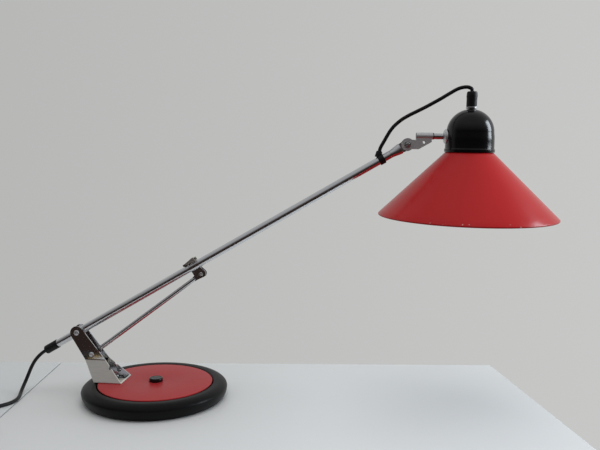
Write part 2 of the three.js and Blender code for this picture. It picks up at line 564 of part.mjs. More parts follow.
// ---- head: rod, dome, shade and lamp holder, rolled a little about the rod -----------------------------------------
const headX = knucklePoint[0] + head.reach;
const headFrame = new THREE.Group();
headFrame.position.set(headX, 0, rodZ);
headFrame.rotation.x = head.roll * RAD;
lamp.add(headFrame);

const sleeveBack = link.sleeveStart - head.reach;
const sleeveFront = link.sleeveEnd - head.reach;
const domeFace = -dome.radius;
const shoulderEnd = domeFace - saddlePlate.thick - GAP;
const threadEnd = domeFace + dome.wall + rod.nutThick + 3;
piece(headFrame, "head_rod", "chrome", alongX(lathe([
  [0, sleeveBack + 1.5], [rod.radius, sleeveBack + 1.5], [rod.radius, sleeveFront + GAP + rod.fibre + GAP],
  [rod.shoulder, sleeveFront + GAP + rod.fibre + GAP], [rod.shoulder, shoulderEnd], [rod.thread, shoulderEnd],
  [rod.thread, threadEnd], [0, threadEnd],
], 28)));
piece(headFrame, "fibre_washer", "rubber", alongX(
  tube(sleeveWall - 0.3, rod.radius + GAP, sleeveFront + GAP, sleeveFront + GAP + rod.fibre, 28)));

const topBore = nipple.radius + GAP;
const domeProfile = [
  [dome.lip, dome.foot], [dome.lip, dome.foot + dome.lipHeight], [dome.radius + 0.3, dome.foot + dome.lipHeight + 0.6],
  [dome.radius, dome.shoulder - 6],
  ...arc(0, dome.shoulder, dome.top, 0, Math.acos(topBore / dome.top) / RAD, 7),
];
const inside = (r) => Math.sqrt((dome.top - dome.wall) ** 2 - r * r) + dome.shoulder;
const domeInner = [
  [topBore, inside(topBore)],
  ...arc(0, dome.shoulder, dome.top - dome.wall, 68, 0, 4),
  [dome.radius - dome.wall, dome.foot],
];
const rodHole = alongX(drum(rod.thread + GAP, domeFace - 20, domeFace + 20, 20));
piece(headFrame, "dome_cap", "gloss", cut(latheLoop([...domeProfile, ...domeInner], 36), rodHole));

const plate = alongX(lathe([
  [0, domeFace - saddlePlate.thick], [saddlePlate.nose, domeFace - saddlePlate.thick],
  [saddlePlate.middle, domeFace - 2.6], [saddlePlate.rim - 0.2, domeFace - 1],
  [saddlePlate.rim, domeFace + saddlePlate.seat], [0, domeFace + saddlePlate.seat],
], 32));
const domeSkin = drum(dome.radius + GAP, -40, 40, 80);
piece(headFrame, "saddle_plate", "chrome", cut(plate, domeSkin, rodHole));
const nutBack = domeFace + dome.wall + 2.2;
piece(headFrame, "rod_nut", "steel", cut(
  slabX(hexagon(rod.nutRadius * Math.sqrt(3)), nutBack, nutBack + rod.nutThick), rodHole.clone().translate(10, 0, 0)));

const domeTop = dome.shoulder + dome.top;
const ringLow = domeTop + GAP;
const reliefLow = ringLow + ring.thick + GAP;
piece(headFrame, "nipple_ring", "steel", tube(ring.radius, topBore, ringLow, ringLow + ring.thick, 28));
piece(headFrame, "entry_nipple", "steel", tube(nipple.radius, nipple.bore, nipple.bottom, nipple.top, 20));
const reliefTop = reliefLow + relief.height;
piece(headFrame, "strain_relief", "rubber", latheLoop([
  [topBore, reliefLow], [relief.radius, reliefLow], [relief.radius, reliefLow + relief.height * 0.5],
  [relief.radius + relief.bulge, reliefLow + relief.height * 0.7], [relief.topRadius, reliefTop - 0.8],
  [relief.topRadius - 0.6, reliefTop], [flex.radius + GAP, reliefTop], [flex.radius + GAP, nipple.top + GAP],
  [topBore, nipple.top + GAP],
], 28));

const shadeTop = dome.foot - GAP;
const shadeFoot = shadeTop - shade.height;
const slope = (shade.rim - shade.top) / shade.height;
const skin = shade.wall * Math.hypot(1, slope);
piece(headFrame, "shade_cone", "red", latheLoop([
  [shade.throat, shadeTop], [shade.top, shadeTop], [shade.rim, shadeFoot],
  [shade.rim + shade.beadOut, shadeFoot - shade.bead * 0.5], [shade.rim, shadeFoot - shade.bead],
  [shade.rim - shade.beadIn + 0.3, shadeFoot - shade.bead], [shade.rim - shade.beadIn, shadeFoot - shade.bead * 0.5],
  [shade.rim - skin, shadeFoot], [shade.top - skin + slope * shade.wall, shadeTop - shade.wall],
  [shade.throat, shadeTop - shade.wall],
], 48));

const flangeLow = shadeTop + GAP;
piece(headFrame, "lamp_holder", "gloss", latheLoop([
  [nipple.radius + GAP, holder.top + holder.step], [holder.neck, holder.top + holder.step],
  [holder.radius, holder.top], [holder.radius, flangeLow + holder.flangeThick],
  [holder.flange, flangeLow + holder.flangeThick], [holder.flange, flangeLow], [holder.radius, flangeLow],
  [holder.radius, holder.mouth], [holder.bore, holder.mouth], [holder.bore, holder.floor + holder.step],
  [nipple.radius + GAP, holder.floor + holder.step],
], 28));
piece(headFrame, "holder_ring", "gloss", tube(
  holder.flange, holder.radius + GAP, shadeTop - shade.wall - GAP - holder.ringThick,
  shadeTop - shade.wall - GAP, 28));
piece(headFrame, "contact_block", "ceramic", lathe([
  [0, bulb.capTop + GAP], [4, bulb.capTop + GAP], [4, bulb.capTop + 2.4], [holder.bore - GAP, bulb.capTop + 2.4],
  [holder.bore - GAP, holder.floor + holder.step - GAP], [0, holder.floor + holder.step - GAP],
], 24));

piece(headFrame, "bulb_cap", "steel", latheLoop([
  [bulb.cap, bulb.capBottom], [bulb.cap, bulb.capTop - 4], [bulb.tip, bulb.capTop], [2, bulb.capTop],
  [2, bulb.capTop - 1], [4.6, bulb.capTop - 1], [bulb.cap - 1, bulb.capTop - 4.6], [bulb.cap - 1, bulb.capBottom],
], 28));
const glassTop = bulb.capBottom - GAP;
const globeZ = glassTop - bulb.length + bulb.radius;
const globe = (radius) => arc(0, globeZ, radius, 28, -90, 8).map(([r, z]) => [Math.max(r, 0), z]);
const throat = (inset) => [
  [bulb.cap - 0.2 - inset, glassTop], [bulb.neck - inset, glassTop - bulb.neckDrop],
  [bulb.swell - inset, glassTop - bulb.swellDrop],
];
piece(headFrame, "bulb_glass", "glass", lathe([
  ...throat(0), ...globe(bulb.radius), ...globe(bulb.radius - bulb.wall).reverse(),
  ...throat(bulb.wall).reverse(), throat(0)[0],
], 24));

// ---- free flex from the arm to the head -------------------------------------------------------------------------------
const [mouthX, mouthZ] = onArm(...spoutAt(-GAP / 2));
const splitX = knucklePoint[0] + 16.7;
const splitZ = knucklePoint[1] + 50.9;
const entry = reliefTop + GAP;
const entryPoint = [headX, -entry * Math.sin(head.roll * RAD), rodZ + entry * Math.cos(head.roll * RAD)];
piece(lamp, "flex_lower", "rubber", sweep(
  routed(flexLower.map(([x, z]) => [x, 0, z]), [mouthX, 0, mouthZ], [splitX, 0, splitZ]), flex.radius, 8, 16));
// the last stretch leans over with the rolled head
const lean = (x) => Math.max(0, (x - 440) / 25) * entryPoint[1];
piece(lamp, "flex_upper", "rubber", sweep(
  routed(flexUpper.map(([x, z]) => [x, lean(x), z]), [splitX + GAP, 0, splitZ + 0.15], entryPoint), flex.radius, 8, 20));

// ---- mains cord, switch, coil and plug -----------------------------------------------------------------------------------
const halfSwitch = toggle.length / 2;
const [exitX, exitZ] = onArm(-cap.back - GAP, 0);
const switchIn = [toggle.x + halfSwitch + GAP, toggle.y, toggle.cordZ];
const switchOut = [toggle.x - halfSwitch - GAP, toggle.y, toggle.cordZ];
const coilStart = [coil.x - coil.radius, coil.y + coil.radius * 0.614, cord.radius];
const coilEnd = [coil.x + coil.radius * 0.6, coil.y - coil.radius, cord.radius + (coil.layers - 1) * coil.pitch - 0.7];
const plugNeck = [plug.x - plug.neck - 2 * GAP, plug.y, plug.halfHeight];
piece(turntable, "mains_cord", "rubber",
  sweep(routed(cordRoute, [exitX, 0, exitZ], switchIn), cord.radius, 8, 32));
piece(turntable, "cord_bend", "rubber", sweep(routed(cordBend, switchOut, coilStart), cord.radius, 8, 10));
piece(turntable, "cord_tail", "rubber", sweep(routed(cordTail, coilEnd, plugNeck), cord.radius, 8, 8));

const coilIn = coil.radius - (coil.turns / coil.layers) * coil.pitch - cord.radius - GAP;
const coilOut = coil.radius + cord.radius + GAP;
const coilTop = 2 * cord.radius + (coil.layers - 1) * coil.pitch + GAP;
piece(turntable, "cord_coil", "rubber", at(tube(coilOut, coilIn, 0, coilTop, 32), coil.x, coil.y, 0));

const beside = (g) => at(g, toggle.x, toggle.y, 0);
const corners = (halfX, halfY, corner) => [
  ...arc(halfX - corner, halfY - corner, corner, 0, 90, 3), ...arc(corner - halfX, halfY - corner, corner, 90, 180, 3),
  ...arc(corner - halfX, corner - halfY, corner, 180, 270, 3), ...arc(halfX - corner, corner - halfY, corner, 270, 360, 3),
];
const shell = (inset, low, high) => slabZ(
  corners(halfSwitch - inset, toggle.halfWidth - inset, toggle.corner - inset * 0.5), low, high);
const cordWay = at(alongX(drum(cord.radius + GAP, -80, 80, 16)), 0, 0, toggle.cordZ);
piece(turntable, "switch_base", "gloss", beside(cut(
  shell(0, 0, toggle.split), shell(toggle.wall, toggle.wall, toggle.split + 1), cordWay)));
const windowX = toggle.windowLength / 2;
piece(turntable, "switch_cover", "gloss", beside(cut(
  shell(0, toggle.split + GAP, toggle.height), shell(toggle.wall, toggle.split - 1, toggle.height - toggle.wall), cordWay,
  box(-windowX, windowX, -toggle.windowHalf, toggle.windowHalf, toggle.split, toggle.height + 1))));
const axleHalf = toggle.halfWidth - toggle.wall - GAP;
piece(turntable, "rocker_axle", "steel",
  beside(at(alongY(drum(toggle.axle, -axleHalf, axleHalf, 12)), 0, 0, toggle.axleZ)));
const rockerX = windowX - GAP - 0.4;
const rockerY = toggle.windowHalf - GAP;
const rockerTop = toggle.height - toggle.axleZ;
const rockerSide = [
  [3 - rockerX, -2.6], [rockerX - 3, -2.6], [rockerX, rockerTop - 0.4], [rockerX - 0.6, rockerTop + 1.6],
  [0, rockerTop + 0.4], [0.6 - rockerX, rockerTop + 1.6], [-rockerX, rockerTop - 0.4],
];
const rocker = piece(turntable, "switch_rocker", "gloss", cut(
  slabY(rockerSide, -rockerY, rockerY), alongY(drum(toggle.axle + GAP, -20, 20, 12))));
rocker.position.set(toggle.x, toggle.y, toggle.axleZ);
rocker.rotation.y = -toggle.tilt * RAD;

const plugOutline = [
  [0, -6], [0, 6], [5, 8.5], [18, 14.5], [25, plug.halfWidth], [plug.length, plug.halfWidth],
  [plug.length, -plug.halfWidth], [25, -plug.halfWidth], [18, -14.5], [5, -8.5],
].reverse();
const onPlug = (g) => at(g, plug.x, plug.y, plug.halfHeight);
const pins = [["left", plug.halfApart], ["right", -plug.halfApart]];
const pinBack = plug.length - plug.pinDepth;
piece(turntable, "plug_body", "gloss", onPlug(cut(
  join(
    slabZ(plugOutline, -plug.halfHeight, plug.halfHeight),
    alongX(lathe([[0, -plug.neck], [plug.neckRadius - 0.8, -plug.neck], [plug.neckRadius, 2], [0, 2]], 20))),
  ...pins.map(([, y]) => at(alongX(drum(plug.pin + GAP, pinBack, 80, 16)), 0, y, 0)))));
pins.forEach(([name, y]) => piece(turntable, `plug_pin_${name}`, "brass", onPlug(at(alongX(
  lathe([[0, pinBack + GAP], [plug.pin, pinBack + GAP], [plug.pin, plug.length + plug.pinLength - 1],
    [plug.pin - 0.8, plug.length + plug.pinLength], [0, plug.length + plug.pinLength]], 16)), 0, y, 0))));

export default lamp;
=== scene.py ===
"""Architect desk lamp: its looks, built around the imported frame. Metres, +Z up."""
import json
import math

import bmesh
import bpy
from mathutils import Matrix, Vector


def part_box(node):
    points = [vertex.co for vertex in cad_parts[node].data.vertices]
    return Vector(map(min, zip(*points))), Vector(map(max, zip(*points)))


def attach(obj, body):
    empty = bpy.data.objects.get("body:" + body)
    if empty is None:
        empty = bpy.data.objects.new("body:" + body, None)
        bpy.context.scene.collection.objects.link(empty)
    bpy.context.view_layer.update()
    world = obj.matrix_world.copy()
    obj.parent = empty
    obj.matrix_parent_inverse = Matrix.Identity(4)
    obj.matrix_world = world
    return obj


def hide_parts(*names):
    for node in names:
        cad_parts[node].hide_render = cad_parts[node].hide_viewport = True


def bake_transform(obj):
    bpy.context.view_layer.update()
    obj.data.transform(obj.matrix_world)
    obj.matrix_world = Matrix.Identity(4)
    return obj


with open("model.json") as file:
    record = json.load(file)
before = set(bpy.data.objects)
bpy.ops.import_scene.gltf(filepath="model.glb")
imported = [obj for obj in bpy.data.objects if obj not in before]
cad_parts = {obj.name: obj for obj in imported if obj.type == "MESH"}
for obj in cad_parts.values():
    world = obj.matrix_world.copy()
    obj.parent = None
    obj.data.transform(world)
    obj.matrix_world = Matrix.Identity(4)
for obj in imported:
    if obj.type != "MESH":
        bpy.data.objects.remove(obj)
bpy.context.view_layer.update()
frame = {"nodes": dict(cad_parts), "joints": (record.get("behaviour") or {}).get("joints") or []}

bl_info = {
    "name": "Architect Desk Lamp",
    "version": (1, 0, 0),
    "blender": (4, 5, 0),
    "location": "3D View > Sidebar > Desk Lamp",
    "description": "Builds the looks of an architect desk lamp piece by piece",
    "category": "Add Mesh",
}

MM = 0.001
JOINTS = {joint["name"]: joint for joint in frame["joints"]}


# ---- where things are, taken from the frame -----------------------------------------------------
def joint_place(name):
    joint = JOINTS[name]
    return Vector(joint.get("pos_m") or joint.get("pos"))


def middle(node):
    low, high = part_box(node)
    return (low + high) / 2


PIVOT = joint_place("arm_tilt")
CLUTCH = joint_place("strut_swing")
KNUCKLE = joint_place("head_tilt")
ROD_HEIGHT = joint_place("head_roll").z
HEAD = Vector((middle("dome_cap").x, 0, ROD_HEIGHT))
STRUT_FOOT = Vector((middle("strut_pin_near").x, 0, middle("strut_pin_near").z))
ARM_RISE = math.atan2(KNUCKLE.z - PIVOT.z, KNUCKLE.x - PIVOT.x)
ARM_LENGTH = (KNUCKLE - PIVOT).length / MM
STRUT_RISE = math.atan2(CLUTCH.z - STRUT_FOOT.z, CLUTCH.x - STRUT_FOOT.x)
STRUT_LENGTH = (CLUTCH - STRUT_FOOT).length / MM
HEAD_ROLL = math.radians(4)

UPRIGHT = Matrix.Identity(4)
ARM_FRAME = Matrix.Translation(PIVOT) @ Matrix.Rotation(-ARM_RISE, 4, "Y")
STRUT_FRAME = Matrix.Translation(STRUT_FOOT) @ Matrix.Rotation(-STRUT_RISE, 4, "Y")
LINK_FRAME = Matrix.Translation(KNUCKLE)
HEAD_FRAME = Matrix.Translation(HEAD) @ Matrix.Rotation(HEAD_ROLL, 4, "X")
ALONG_X = Matrix.Rotation(math.pi / 2, 4, "Y")
ALONG_Y = Matrix.Rotation(-math.pi / 2, 4, "X")


def shift(x, y, z):
    return Matrix.Translation((x * MM, y * MM, z * MM))


# ---- sizes and colours --------------------------------------------------------------------------
def length(name, description, default):
    return bpy.props.FloatProperty(
        name=name, description=description, default=default, min=0, precision=5,
        subtype="DISTANCE", unit="LENGTH")


def colour(name, description, default):
    return bpy.props.FloatVectorProperty(
        name=name, description=description, default=default, size=3, min=0, max=1, subtype="COLOR")


class LampSizes(bpy.types.PropertyGroup):
    base_radius: length("Base radius", "Outer radius of the weighted base", 0.110)
    base_height: length("Base height", "Height of the rim ring", 0.0235)
    disc_radius: length("Disc radius", "Radius of the turntable disc", 0.0865)
    disc_top: length("Disc top", "Height of the turntable disc's top face", 0.0236)
    sheet: length("Bracket sheet", "Thickness of the bent bracket", 0.0015)
    tube_radius: length("Arm radius", "Outer radius of the arm tube", 0.006)
    strut_radius: length("Strut radius", "Radius of the strut", 0.0035)
    rod_radius: length("Rod radius", "Radius of the rolling head rod", 0.0043)
    flex_diameter: length("Flex diameter", "Diameter of the flex over the knuckle", 0.0054)
    cord_diameter: length("Cord diameter", "Diameter of the mains cord", 0.0054)
    dome_radius: length("Dome radius", "Radius of the dome over the shade", 0.0346)
    shade_rim: length("Shade rim", "Radius of the shade at its rim", 0.129)
    shade_top: length("Shade top", "Radius of the shade under the dome", 0.0342)
    shade_height: length("Shade height", "Height of the cone above its bead", 0.0924)
    bulb_radius: length("Bulb radius", "Radius of the opal globe", 0.030)
    coil_radius: length("Coil radius", "Radius of the coil's outer turn, at the cord's middle", 0.0352)
    coil_pitch: length("Coil pitch", "Distance between turns and between layers", 0.0056)


class LampColours(bpy.types.PropertyGroup):
    red: colour("Shade red", "Gloss enamel of the shade", (0.44, 0.014, 0.016))
    disc_red: colour("Disc red", "Enamel of the turntable disc", (0.36, 0.022, 0.026))
    black: colour("Black", "Enamel and phenolic parts", (0.004, 0.004, 0.0045))
    rubber: colour("Rubber", "Caps, grommets and cords", (0.006, 0.006, 0.0065))
    chrome: colour("Chrome", "Bright plated parts", (0.74, 0.75, 0.77))
    steel: colour("Steel", "Dull plated fixings", (0.50, 0.50, 0.50))
    table: colour("Table", "Table top", (0.65, 0.665, 0.675))
    board: colour("Side board", "Surface beside the table", (0.56, 0.58, 0.59))
    wall: colour("Wall", "Light behind the lamp", (0.530, 0.535, 0.525))


def sizes():
    return bpy.context.scene.lamp_sizes


def colours():
    return bpy.context.scene.lamp_colours


# ---- shader graphs ------------------------------------------------------------------------------
class Value:
    """One number socket in a shader graph; plain operators add the maths nodes."""

    def __init__(self, graph, socket):
        self.graph = graph
        self.socket = socket

    def maths(self, kind, *others, clamp=False):
        return self.graph.maths(kind, self, *others, clamp=clamp)

    def __add__(self, other):
        return self.maths("ADD", other)

    def __radd__(self, other):
        return self.maths("ADD", other)

    def __sub__(self, other):
        return self.maths("SUBTRACT", other)

    def __rsub__(self, other):
        return self.graph.maths("SUBTRACT", other, self)

    def __mul__(self, other):
        return self.maths("MULTIPLY", other)

    def __rmul__(self, other):
        return self.maths("MULTIPLY", other)

    def __truediv__(self, other):
        return self.maths("DIVIDE", other)

    def __rtruediv__(self, other):
        return self.graph.maths("DIVIDE", other, self)

    def __pow__(self, other):
        return self.maths("POWER", other)

    def __rpow__(self, other):
        return self.graph.maths("POWER", other, self)

    def above(self, edge, soft):
        return ((self - edge) / soft + 0.5).maths("ADD", 0, clamp=True)


class Graph:
    """A material's or world's node tree, filled one node at a time."""

    def __init__(self, owner):
        owner.use_nodes = True
        self.tree = owner.node_tree
        self.tree.nodes.clear()

    def node(self, kind, settings=None, **inputs):
        made = self.tree.nodes.new(kind)
        for key, value in (settings or {}).items():
            setattr(made, key, value)
        for key, value in inputs.items():
            self.feed(made, key.replace("_", " "), value)
        return made

    def feed(self, node, key, value):
        socket = self.find(node, key)
        if isinstance(value, Value):
            self.tree.links.new(value.socket, socket)
        elif isinstance(value, bpy.types.NodeSocket):
            self.tree.links.new(value, socket)
        else:
            socket.default_value = value

    def find(self, node, key):
        if key[:2] == "at" and key[2:].isdigit():
            return node.inputs[int(key[2:])]
        return node.inputs[key]

    def maths(self, kind, *values, clamp=False):
        made = self.node("ShaderNodeMath", {"operation": kind, "use_clamp": clamp})
        for index, value in enumerate(values):
            self.feed(made, f"at{index}", value)
        return Value(self, made.outputs[0])

    def place(self, stretch=(1, 1, 1)):
        coordinates = self.node("ShaderNodeTexCoord")
        mapping = self.node("ShaderNodeMapping", Vector=coordinates.outputs["Object"], Scale=stretch)
        return mapping.outputs[0]

    def axis(self, letter):
        parts = self.node("ShaderNodeSeparateXYZ", Vector=self.place())
        return Value(self, parts.outputs[letter])

    def noise(self, scale, detail=4.0, stretch=(1, 1, 1), rough=0.55):
        made = self.node(
            "ShaderNodeTexNoise", Vector=self.place(stretch), Scale=scale, Detail=detail, Roughness=rough)
        return Value(self, made.outputs["Fac"])

    def mix(self, share, first, second):
        made = self.node("ShaderNodeMix", {"data_type": "RGBA"}, at0=share)
        self.feed(made, "at6", (*first, 1) if isinstance(first, (tuple, list)) else first)
        self.feed(made, "at7", (*second, 1) if isinstance(second, (tuple, list)) else second)
        return made.outputs[2]

    def bump(self, height, strength, distance):
        made = self.node("ShaderNodeBump", Height=height, Strength=strength, Distance=distance)
        return made.outputs[0]

    def surface(self, **inputs):
        shader = self.node("ShaderNodeBsdfPrincipled", **inputs)
        self.node("ShaderNodeOutputMaterial", Surface=shader.outputs[0])


def scaled(shade, factor):
    return tuple(min(1.0, part * factor) for part in shade)


def blank(name):
    made = bpy.data.materials.new(name)
    return made, Graph(made)


def enamel(name, shade, low=0.16, high=0.30, peel=0.10, coat=0.6, glint=0.2):
    """Sprayed gloss enamel: slight orange peel, soft patches of wear and fine dust."""
    made, g = blank(name)
    patches = g.noise(18, 5)
    specks = g.noise(900, 2).above(0.74, 0.04)
    tone = g.mix(patches, scaled(shade, 0.88), scaled(shade, 1.10))
    dusty = g.mix(specks * 0.05, tone, (0.55, 0.53, 0.50))
    rough = patches * (high - low) + low + g.noise(160, 3) * 0.05
    g.surface(
        Base_Color=dusty, Roughness=rough, Coat_Weight=coat, Coat_Roughness=0.06, Specular_IOR_Level=glint,
        Normal=g.bump(g.noise(420, 2) * 0.7 + g.noise(90, 2), peel, 0.0004))
    return made


def shade_enamel(name, shade):
    """Gloss enamel of the shade, with tiny chips along the rim."""
    made, g = blank(name)
    patches = g.noise(11, 4)
    rim_height = (middle("shade_cone").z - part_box("shade_cone")[0].z)
    rim = 1 - g.axis("Z").above(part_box("shade_cone")[0].z + rim_height * 0.10, 0.004)
    chips = g.noise(260, 3).above(0.70, 0.02) * rim
    tone = g.mix(patches, scaled(shade, 0.90), scaled(shade, 1.08))
    g.surface(
        Base_Color=g.mix(chips, tone, (0.72, 0.70, 0.66)),
        Roughness=patches * 0.10 + 0.20 + chips * 0.4,
        Coat_Weight=0.04, Coat_Roughness=0.10, Specular_IOR_Level=0.18,
        Normal=g.bump(g.noise(330, 2) * 0.6 + g.noise(60, 2) - chips, 0.10, 0.0005))
    return made


def chrome(name, low=0.05, high=0.16, along=(1, 1, 1), metal=1.0):
    """Bright plating with hairlines, finger marks and a little pitting."""
    made, g = blank(name)
    marks = g.noise(45, 4)
    lines = g.noise(400, 2, along)
    pits = g.noise(1500, 2).above(0.80, 0.03)
    shade = tuple(colours().chrome)
    tone = g.mix(marks, scaled(shade, 0.86), shade)
    g.surface(
        Base_Color=g.mix(pits * 0.5, tone, (0.16, 0.13, 0.10)), Metallic=metal,
        Roughness=marks * (high - low) + low + pits * 0.25 + lines * 0.05,
        Normal=g.bump(lines - pits, 0.02, 0.0001))
    return made


def bracket_chrome(name, crease):
    """Bright all over, but for the near flare below the crease: brushed grain and more roughness there, and
    on the near side only a pale beige grey painted on as a painted reflection.
    """
    made, g = blank(name)
    marks = g.noise(35, 4)
    # Mask of the near flare below the crease: a painted reflection (pale beige grey, near side only) together
    # with a rougher brushed grain.
    painted_sheen_and_brushing = (1 - g.axis("Z").above(crease, 0.0012)) * (1 - g.axis("Y").above(0, 0.001))
    grain = g.noise(380, 4, (0.15, 1, 1))
    shade = tuple(colours().chrome)
    bright = g.mix(marks, scaled(shade, 0.82), shade)
    g.surface(
        # Pale beige grey on the near flare is a painted reflection; the grain between its two tones is the
        # brushing.
        Base_Color=g.mix(painted_sheen_and_brushing, bright, g.mix(grain, (0.74, 0.72, 0.66), (0.93, 0.91, 0.85))), Metallic=1.0,
        Roughness=marks * 0.05 + 0.05 + painted_sheen_and_brushing * (0.30 + grain * 0.16),
        Normal=g.bump(grain * painted_sheen_and_brushing, 0.10, 0.0002))
    return made


def steel(name, shade=None, low=0.24, high=0.45):
    """Zinc-plated steel: cloudy, softly scratched."""
    made, g = blank(name)
    shade = shade or tuple(colours().steel)
    clouds = g.noise(120, 5)
    scratches = g.noise(700, 3, (0.2, 1, 1))
    g.surface(
        Base_Color=g.mix(clouds, scaled(shade, 0.75), scaled(shade, 1.15)), Metallic=1.0,
        Roughness=clouds * (high - low) + low + scratches * 0.06,
        Normal=g.bump(scratches + clouds * 0.4, 0.12, 0.0002))
    return made


def rubber(name, shade=None, low=0.42, high=0.62, grain=900):
    """Dull black rubber or plastic with a fine grain and grey scuffs."""
    made, g = blank(name)
    shade = shade or tuple(colours().rubber)
    scuffs = g.noise(70, 5).above(0.60, 0.10)
    fine = g.noise(grain, 3)
    g.surface(
        Base_Color=g.mix(scuffs * 0.35, scaled(shade, 0.9), scaled(shade, 3.2)),
        Roughness=fine * (high - low) + low + scuffs * 0.08, Specular_IOR_Level=0.35,
        Normal=g.bump(fine + g.noise(150, 2) * 0.6, 0.18, 0.0003))
    return made


def phenolic(name, shade=None, low=0.08, high=0.20):
    """Moulded black phenolic, polished, with faint swirls."""
    made, g = blank(name)
    shade = shade or tuple(colours().black)
    swirl = g.noise(40, 5, (1, 1, 2))
    fine = g.noise(800, 2)
    g.surface(
        Base_Color=g.mix(swirl, scaled(shade, 0.8), scaled(shade, 1.5)),
        Roughness=swirl * (high - low) + low + fine.above(0.72, 0.05) * 0.15,
        Specular_IOR_Level=0.30,
        Normal=g.bump(fine * 0.4 + swirl, 0.03, 0.0003))
    return made


def opal(name):
    """Opal glass of the bulb."""
    made, g = blank(name)
    clouds = g.noise(60, 4)
    g.surface(
        Base_Color=g.mix(clouds, (0.86, 0.86, 0.83), (0.93, 0.93, 0.91)),
        Roughness=clouds * 0.08 + 0.16, Subsurface_Weight=0.15, Coat_Weight=0.3,
        Normal=g.bump(clouds, 0.03, 0.0004))
    return made


def pale(name, shade, low=0.35, high=0.5):
    """Pale moulded plastic, ceramic or white enamel."""
    made, g = blank(name)
    clouds = g.noise(90, 5)
    specks = g.noise(700, 2).above(0.73, 0.04)
    g.surface(
        Base_Color=g.mix(specks * 0.4, g.mix(clouds, scaled(shade, 0.93), shade), scaled(shade, 0.6)),
        Roughness=clouds * (high - low) + low,
        Normal=g.bump(clouds + specks, 0.08, 0.0003))
    return made


def felt(name):
    """Pressed dark felt."""
    made, g = blank(name)
    hairs = g.noise(1400, 5, (1, 0.4, 1))
    g.surface(
        Base_Color=g.mix(hairs, (0.010, 0.011, 0.013), (0.045, 0.048, 0.055)),
        Roughness=hairs * 0.1 + 0.85, Sheen_Weight=0.4,
        Normal=g.bump(hairs, 0.6, 0.0008))
    return made


def table_top(name, shade):
    """Pale matt laminate with faint clouding and small marks."""
    made, g = blank(name)
    clouds = g.noise(3, 5)
    marks = g.noise(140, 4).above(0.70, 0.06)
    tone = g.mix(clouds, scaled(shade, 0.96), scaled(shade, 1.03))
    g.surface(
        Base_Color=g.mix(marks * 0.10, tone, scaled(shade, 0.7)),
        Roughness=clouds * 0.08 + 0.42 + marks * 0.05,
        Normal=g.bump(g.noise(900, 2), 0.05, 0.0003))
    return made


FINISHES = {}


def finish(slot):
    """The one material that stands for a slot of the record."""
    makers = {
        "felt": lambda: felt("felt"),
        "base_paint": lambda: enamel("base_paint", tuple(colours().black), 0.30, 0.42, 0.14, 0.03, 0.12),
        "ballast_iron": lambda: steel("ballast_iron", (0.12, 0.115, 0.11), 0.55, 0.8),
        "turntable_red": lambda: enamel("turntable_red", tuple(colours().disc_red), 0.34, 0.46, 0.10, 0.1),
        "shade_red": lambda: shade_enamel("shade_red", tuple(colours().red)),
        "chrome_sheet": lambda: bracket_chrome("chrome_sheet", CREASE * MM),
        "chrome_tube": lambda: chrome("chrome_tube", 0.14, 0.24, (0.2, 1, 1)),
        "chrome_small": lambda: chrome("chrome_small", 0.26, 0.42, metal=0.72),
        "clutch_chrome": lambda: chrome("clutch_chrome", 0.10, 0.20),
        "lever_satin": lambda: steel("lever_satin", (0.80, 0.78, 0.73), 0.38, 0.50),
        "bright_rivet": lambda: steel("bright_rivet", (0.95, 0.95, 0.94), 0.30, 0.42),
        "plated_steel": lambda: steel("plated_steel"),
        "nylon": lambda: pale("nylon", (0.70, 0.68, 0.60)),
        "knob_black": lambda: phenolic("knob_black", None, 0.10, 0.20),
        "black_rubber": lambda: rubber("black_rubber"),
        "cord_black": lambda: rubber("cord_black", None, 0.34, 0.50, 1200),
        "dome_gloss": lambda: phenolic("dome_gloss", None, 0.14, 0.22),
        "bakelite": lambda: phenolic("bakelite", (0.016, 0.012, 0.010), 0.16, 0.3),
        "contact_ceramic": lambda: pale("contact_ceramic", (0.80, 0.78, 0.72)),
        "bulb_metal": lambda: steel("bulb_metal", (0.62, 0.62, 0.62), 0.2, 0.35),
        "bulb_glass": lambda: opal("bulb_glass"),
        "switch_black": lambda: phenolic("switch_black", None, 0.25, 0.4),
        "rocker_black": lambda: phenolic("rocker_black", (0.02, 0.02, 0.021), 0.2, 0.32),
        "plug_black": lambda: rubber("plug_black", None, 0.35, 0.5),
        "pin_brass": lambda: steel("pin_brass", (0.72, 0.50, 0.22), 0.18, 0.34),
        "shade_lining": lambda: pale("shade_lining", (0.78, 0.77, 0.73), 0.25, 0.36),
    }
    if slot not in FINISHES:
        FINISHES[slot] = makers[slot]()
    return FINISHES[slot]


# ---- shape helpers; sizes in millimetres inside a frame of their own ----------------------------
def arc(cx, cy, radius, start, end, count):
    steps = [math.radians(start + (end - start) * i / count) for i in range(count + 1)]
    return [(cx + radius * math.cos(a), cy + radius * math.sin(a)) for a in steps]


def softened(points, radius, closed=True, steps=3):
    """The same outline with each clear corner turned into a small curve."""
    made = []
    count = len(points)
    for i in range(count):
        here = Vector(points[i])
        if not closed and i in (0, count - 1):
            made.append(tuple(here))
            continue
        before = Vector(points[i - 1]) - here
        after = Vector(points[(i + 1) % count]) - here
        if before.length < 1e-6 or after.length < 1e-6:
            continue
        if before.angle(after) > math.radians(158):
            made.append(tuple(here))
            continue
        reach = min(radius, before.length * 0.45, after.length * 0.45)
        a = here + before.normalized() * reach
        b = here + after.normalized() * reach
        for k in range(steps + 1):
            t = k / steps
            made.append(tuple(a * (1 - t) ** 2 + here * (2 * t * (1 - t)) + b * t ** 2))
    return made


def new_object(name, vertices, faces, matrix=UPRIGHT):
    mesh = bpy.data.meshes.new(name)
    mesh.from_pydata([matrix @ (Vector(v) * MM) for v in vertices], [], faces)
    bm = bmesh.new()
    bm.from_mesh(mesh)
    bmesh.ops.remove_doubles(bm, verts=bm.verts, dist=1e-7)
    bmesh.ops.recalc_face_normals(bm, faces=bm.faces)
    bm.to_mesh(mesh)
    bm.free()
    made = bpy.data.objects.new(name, mesh)
    bpy.context.collection.objects.link(made)
    return made


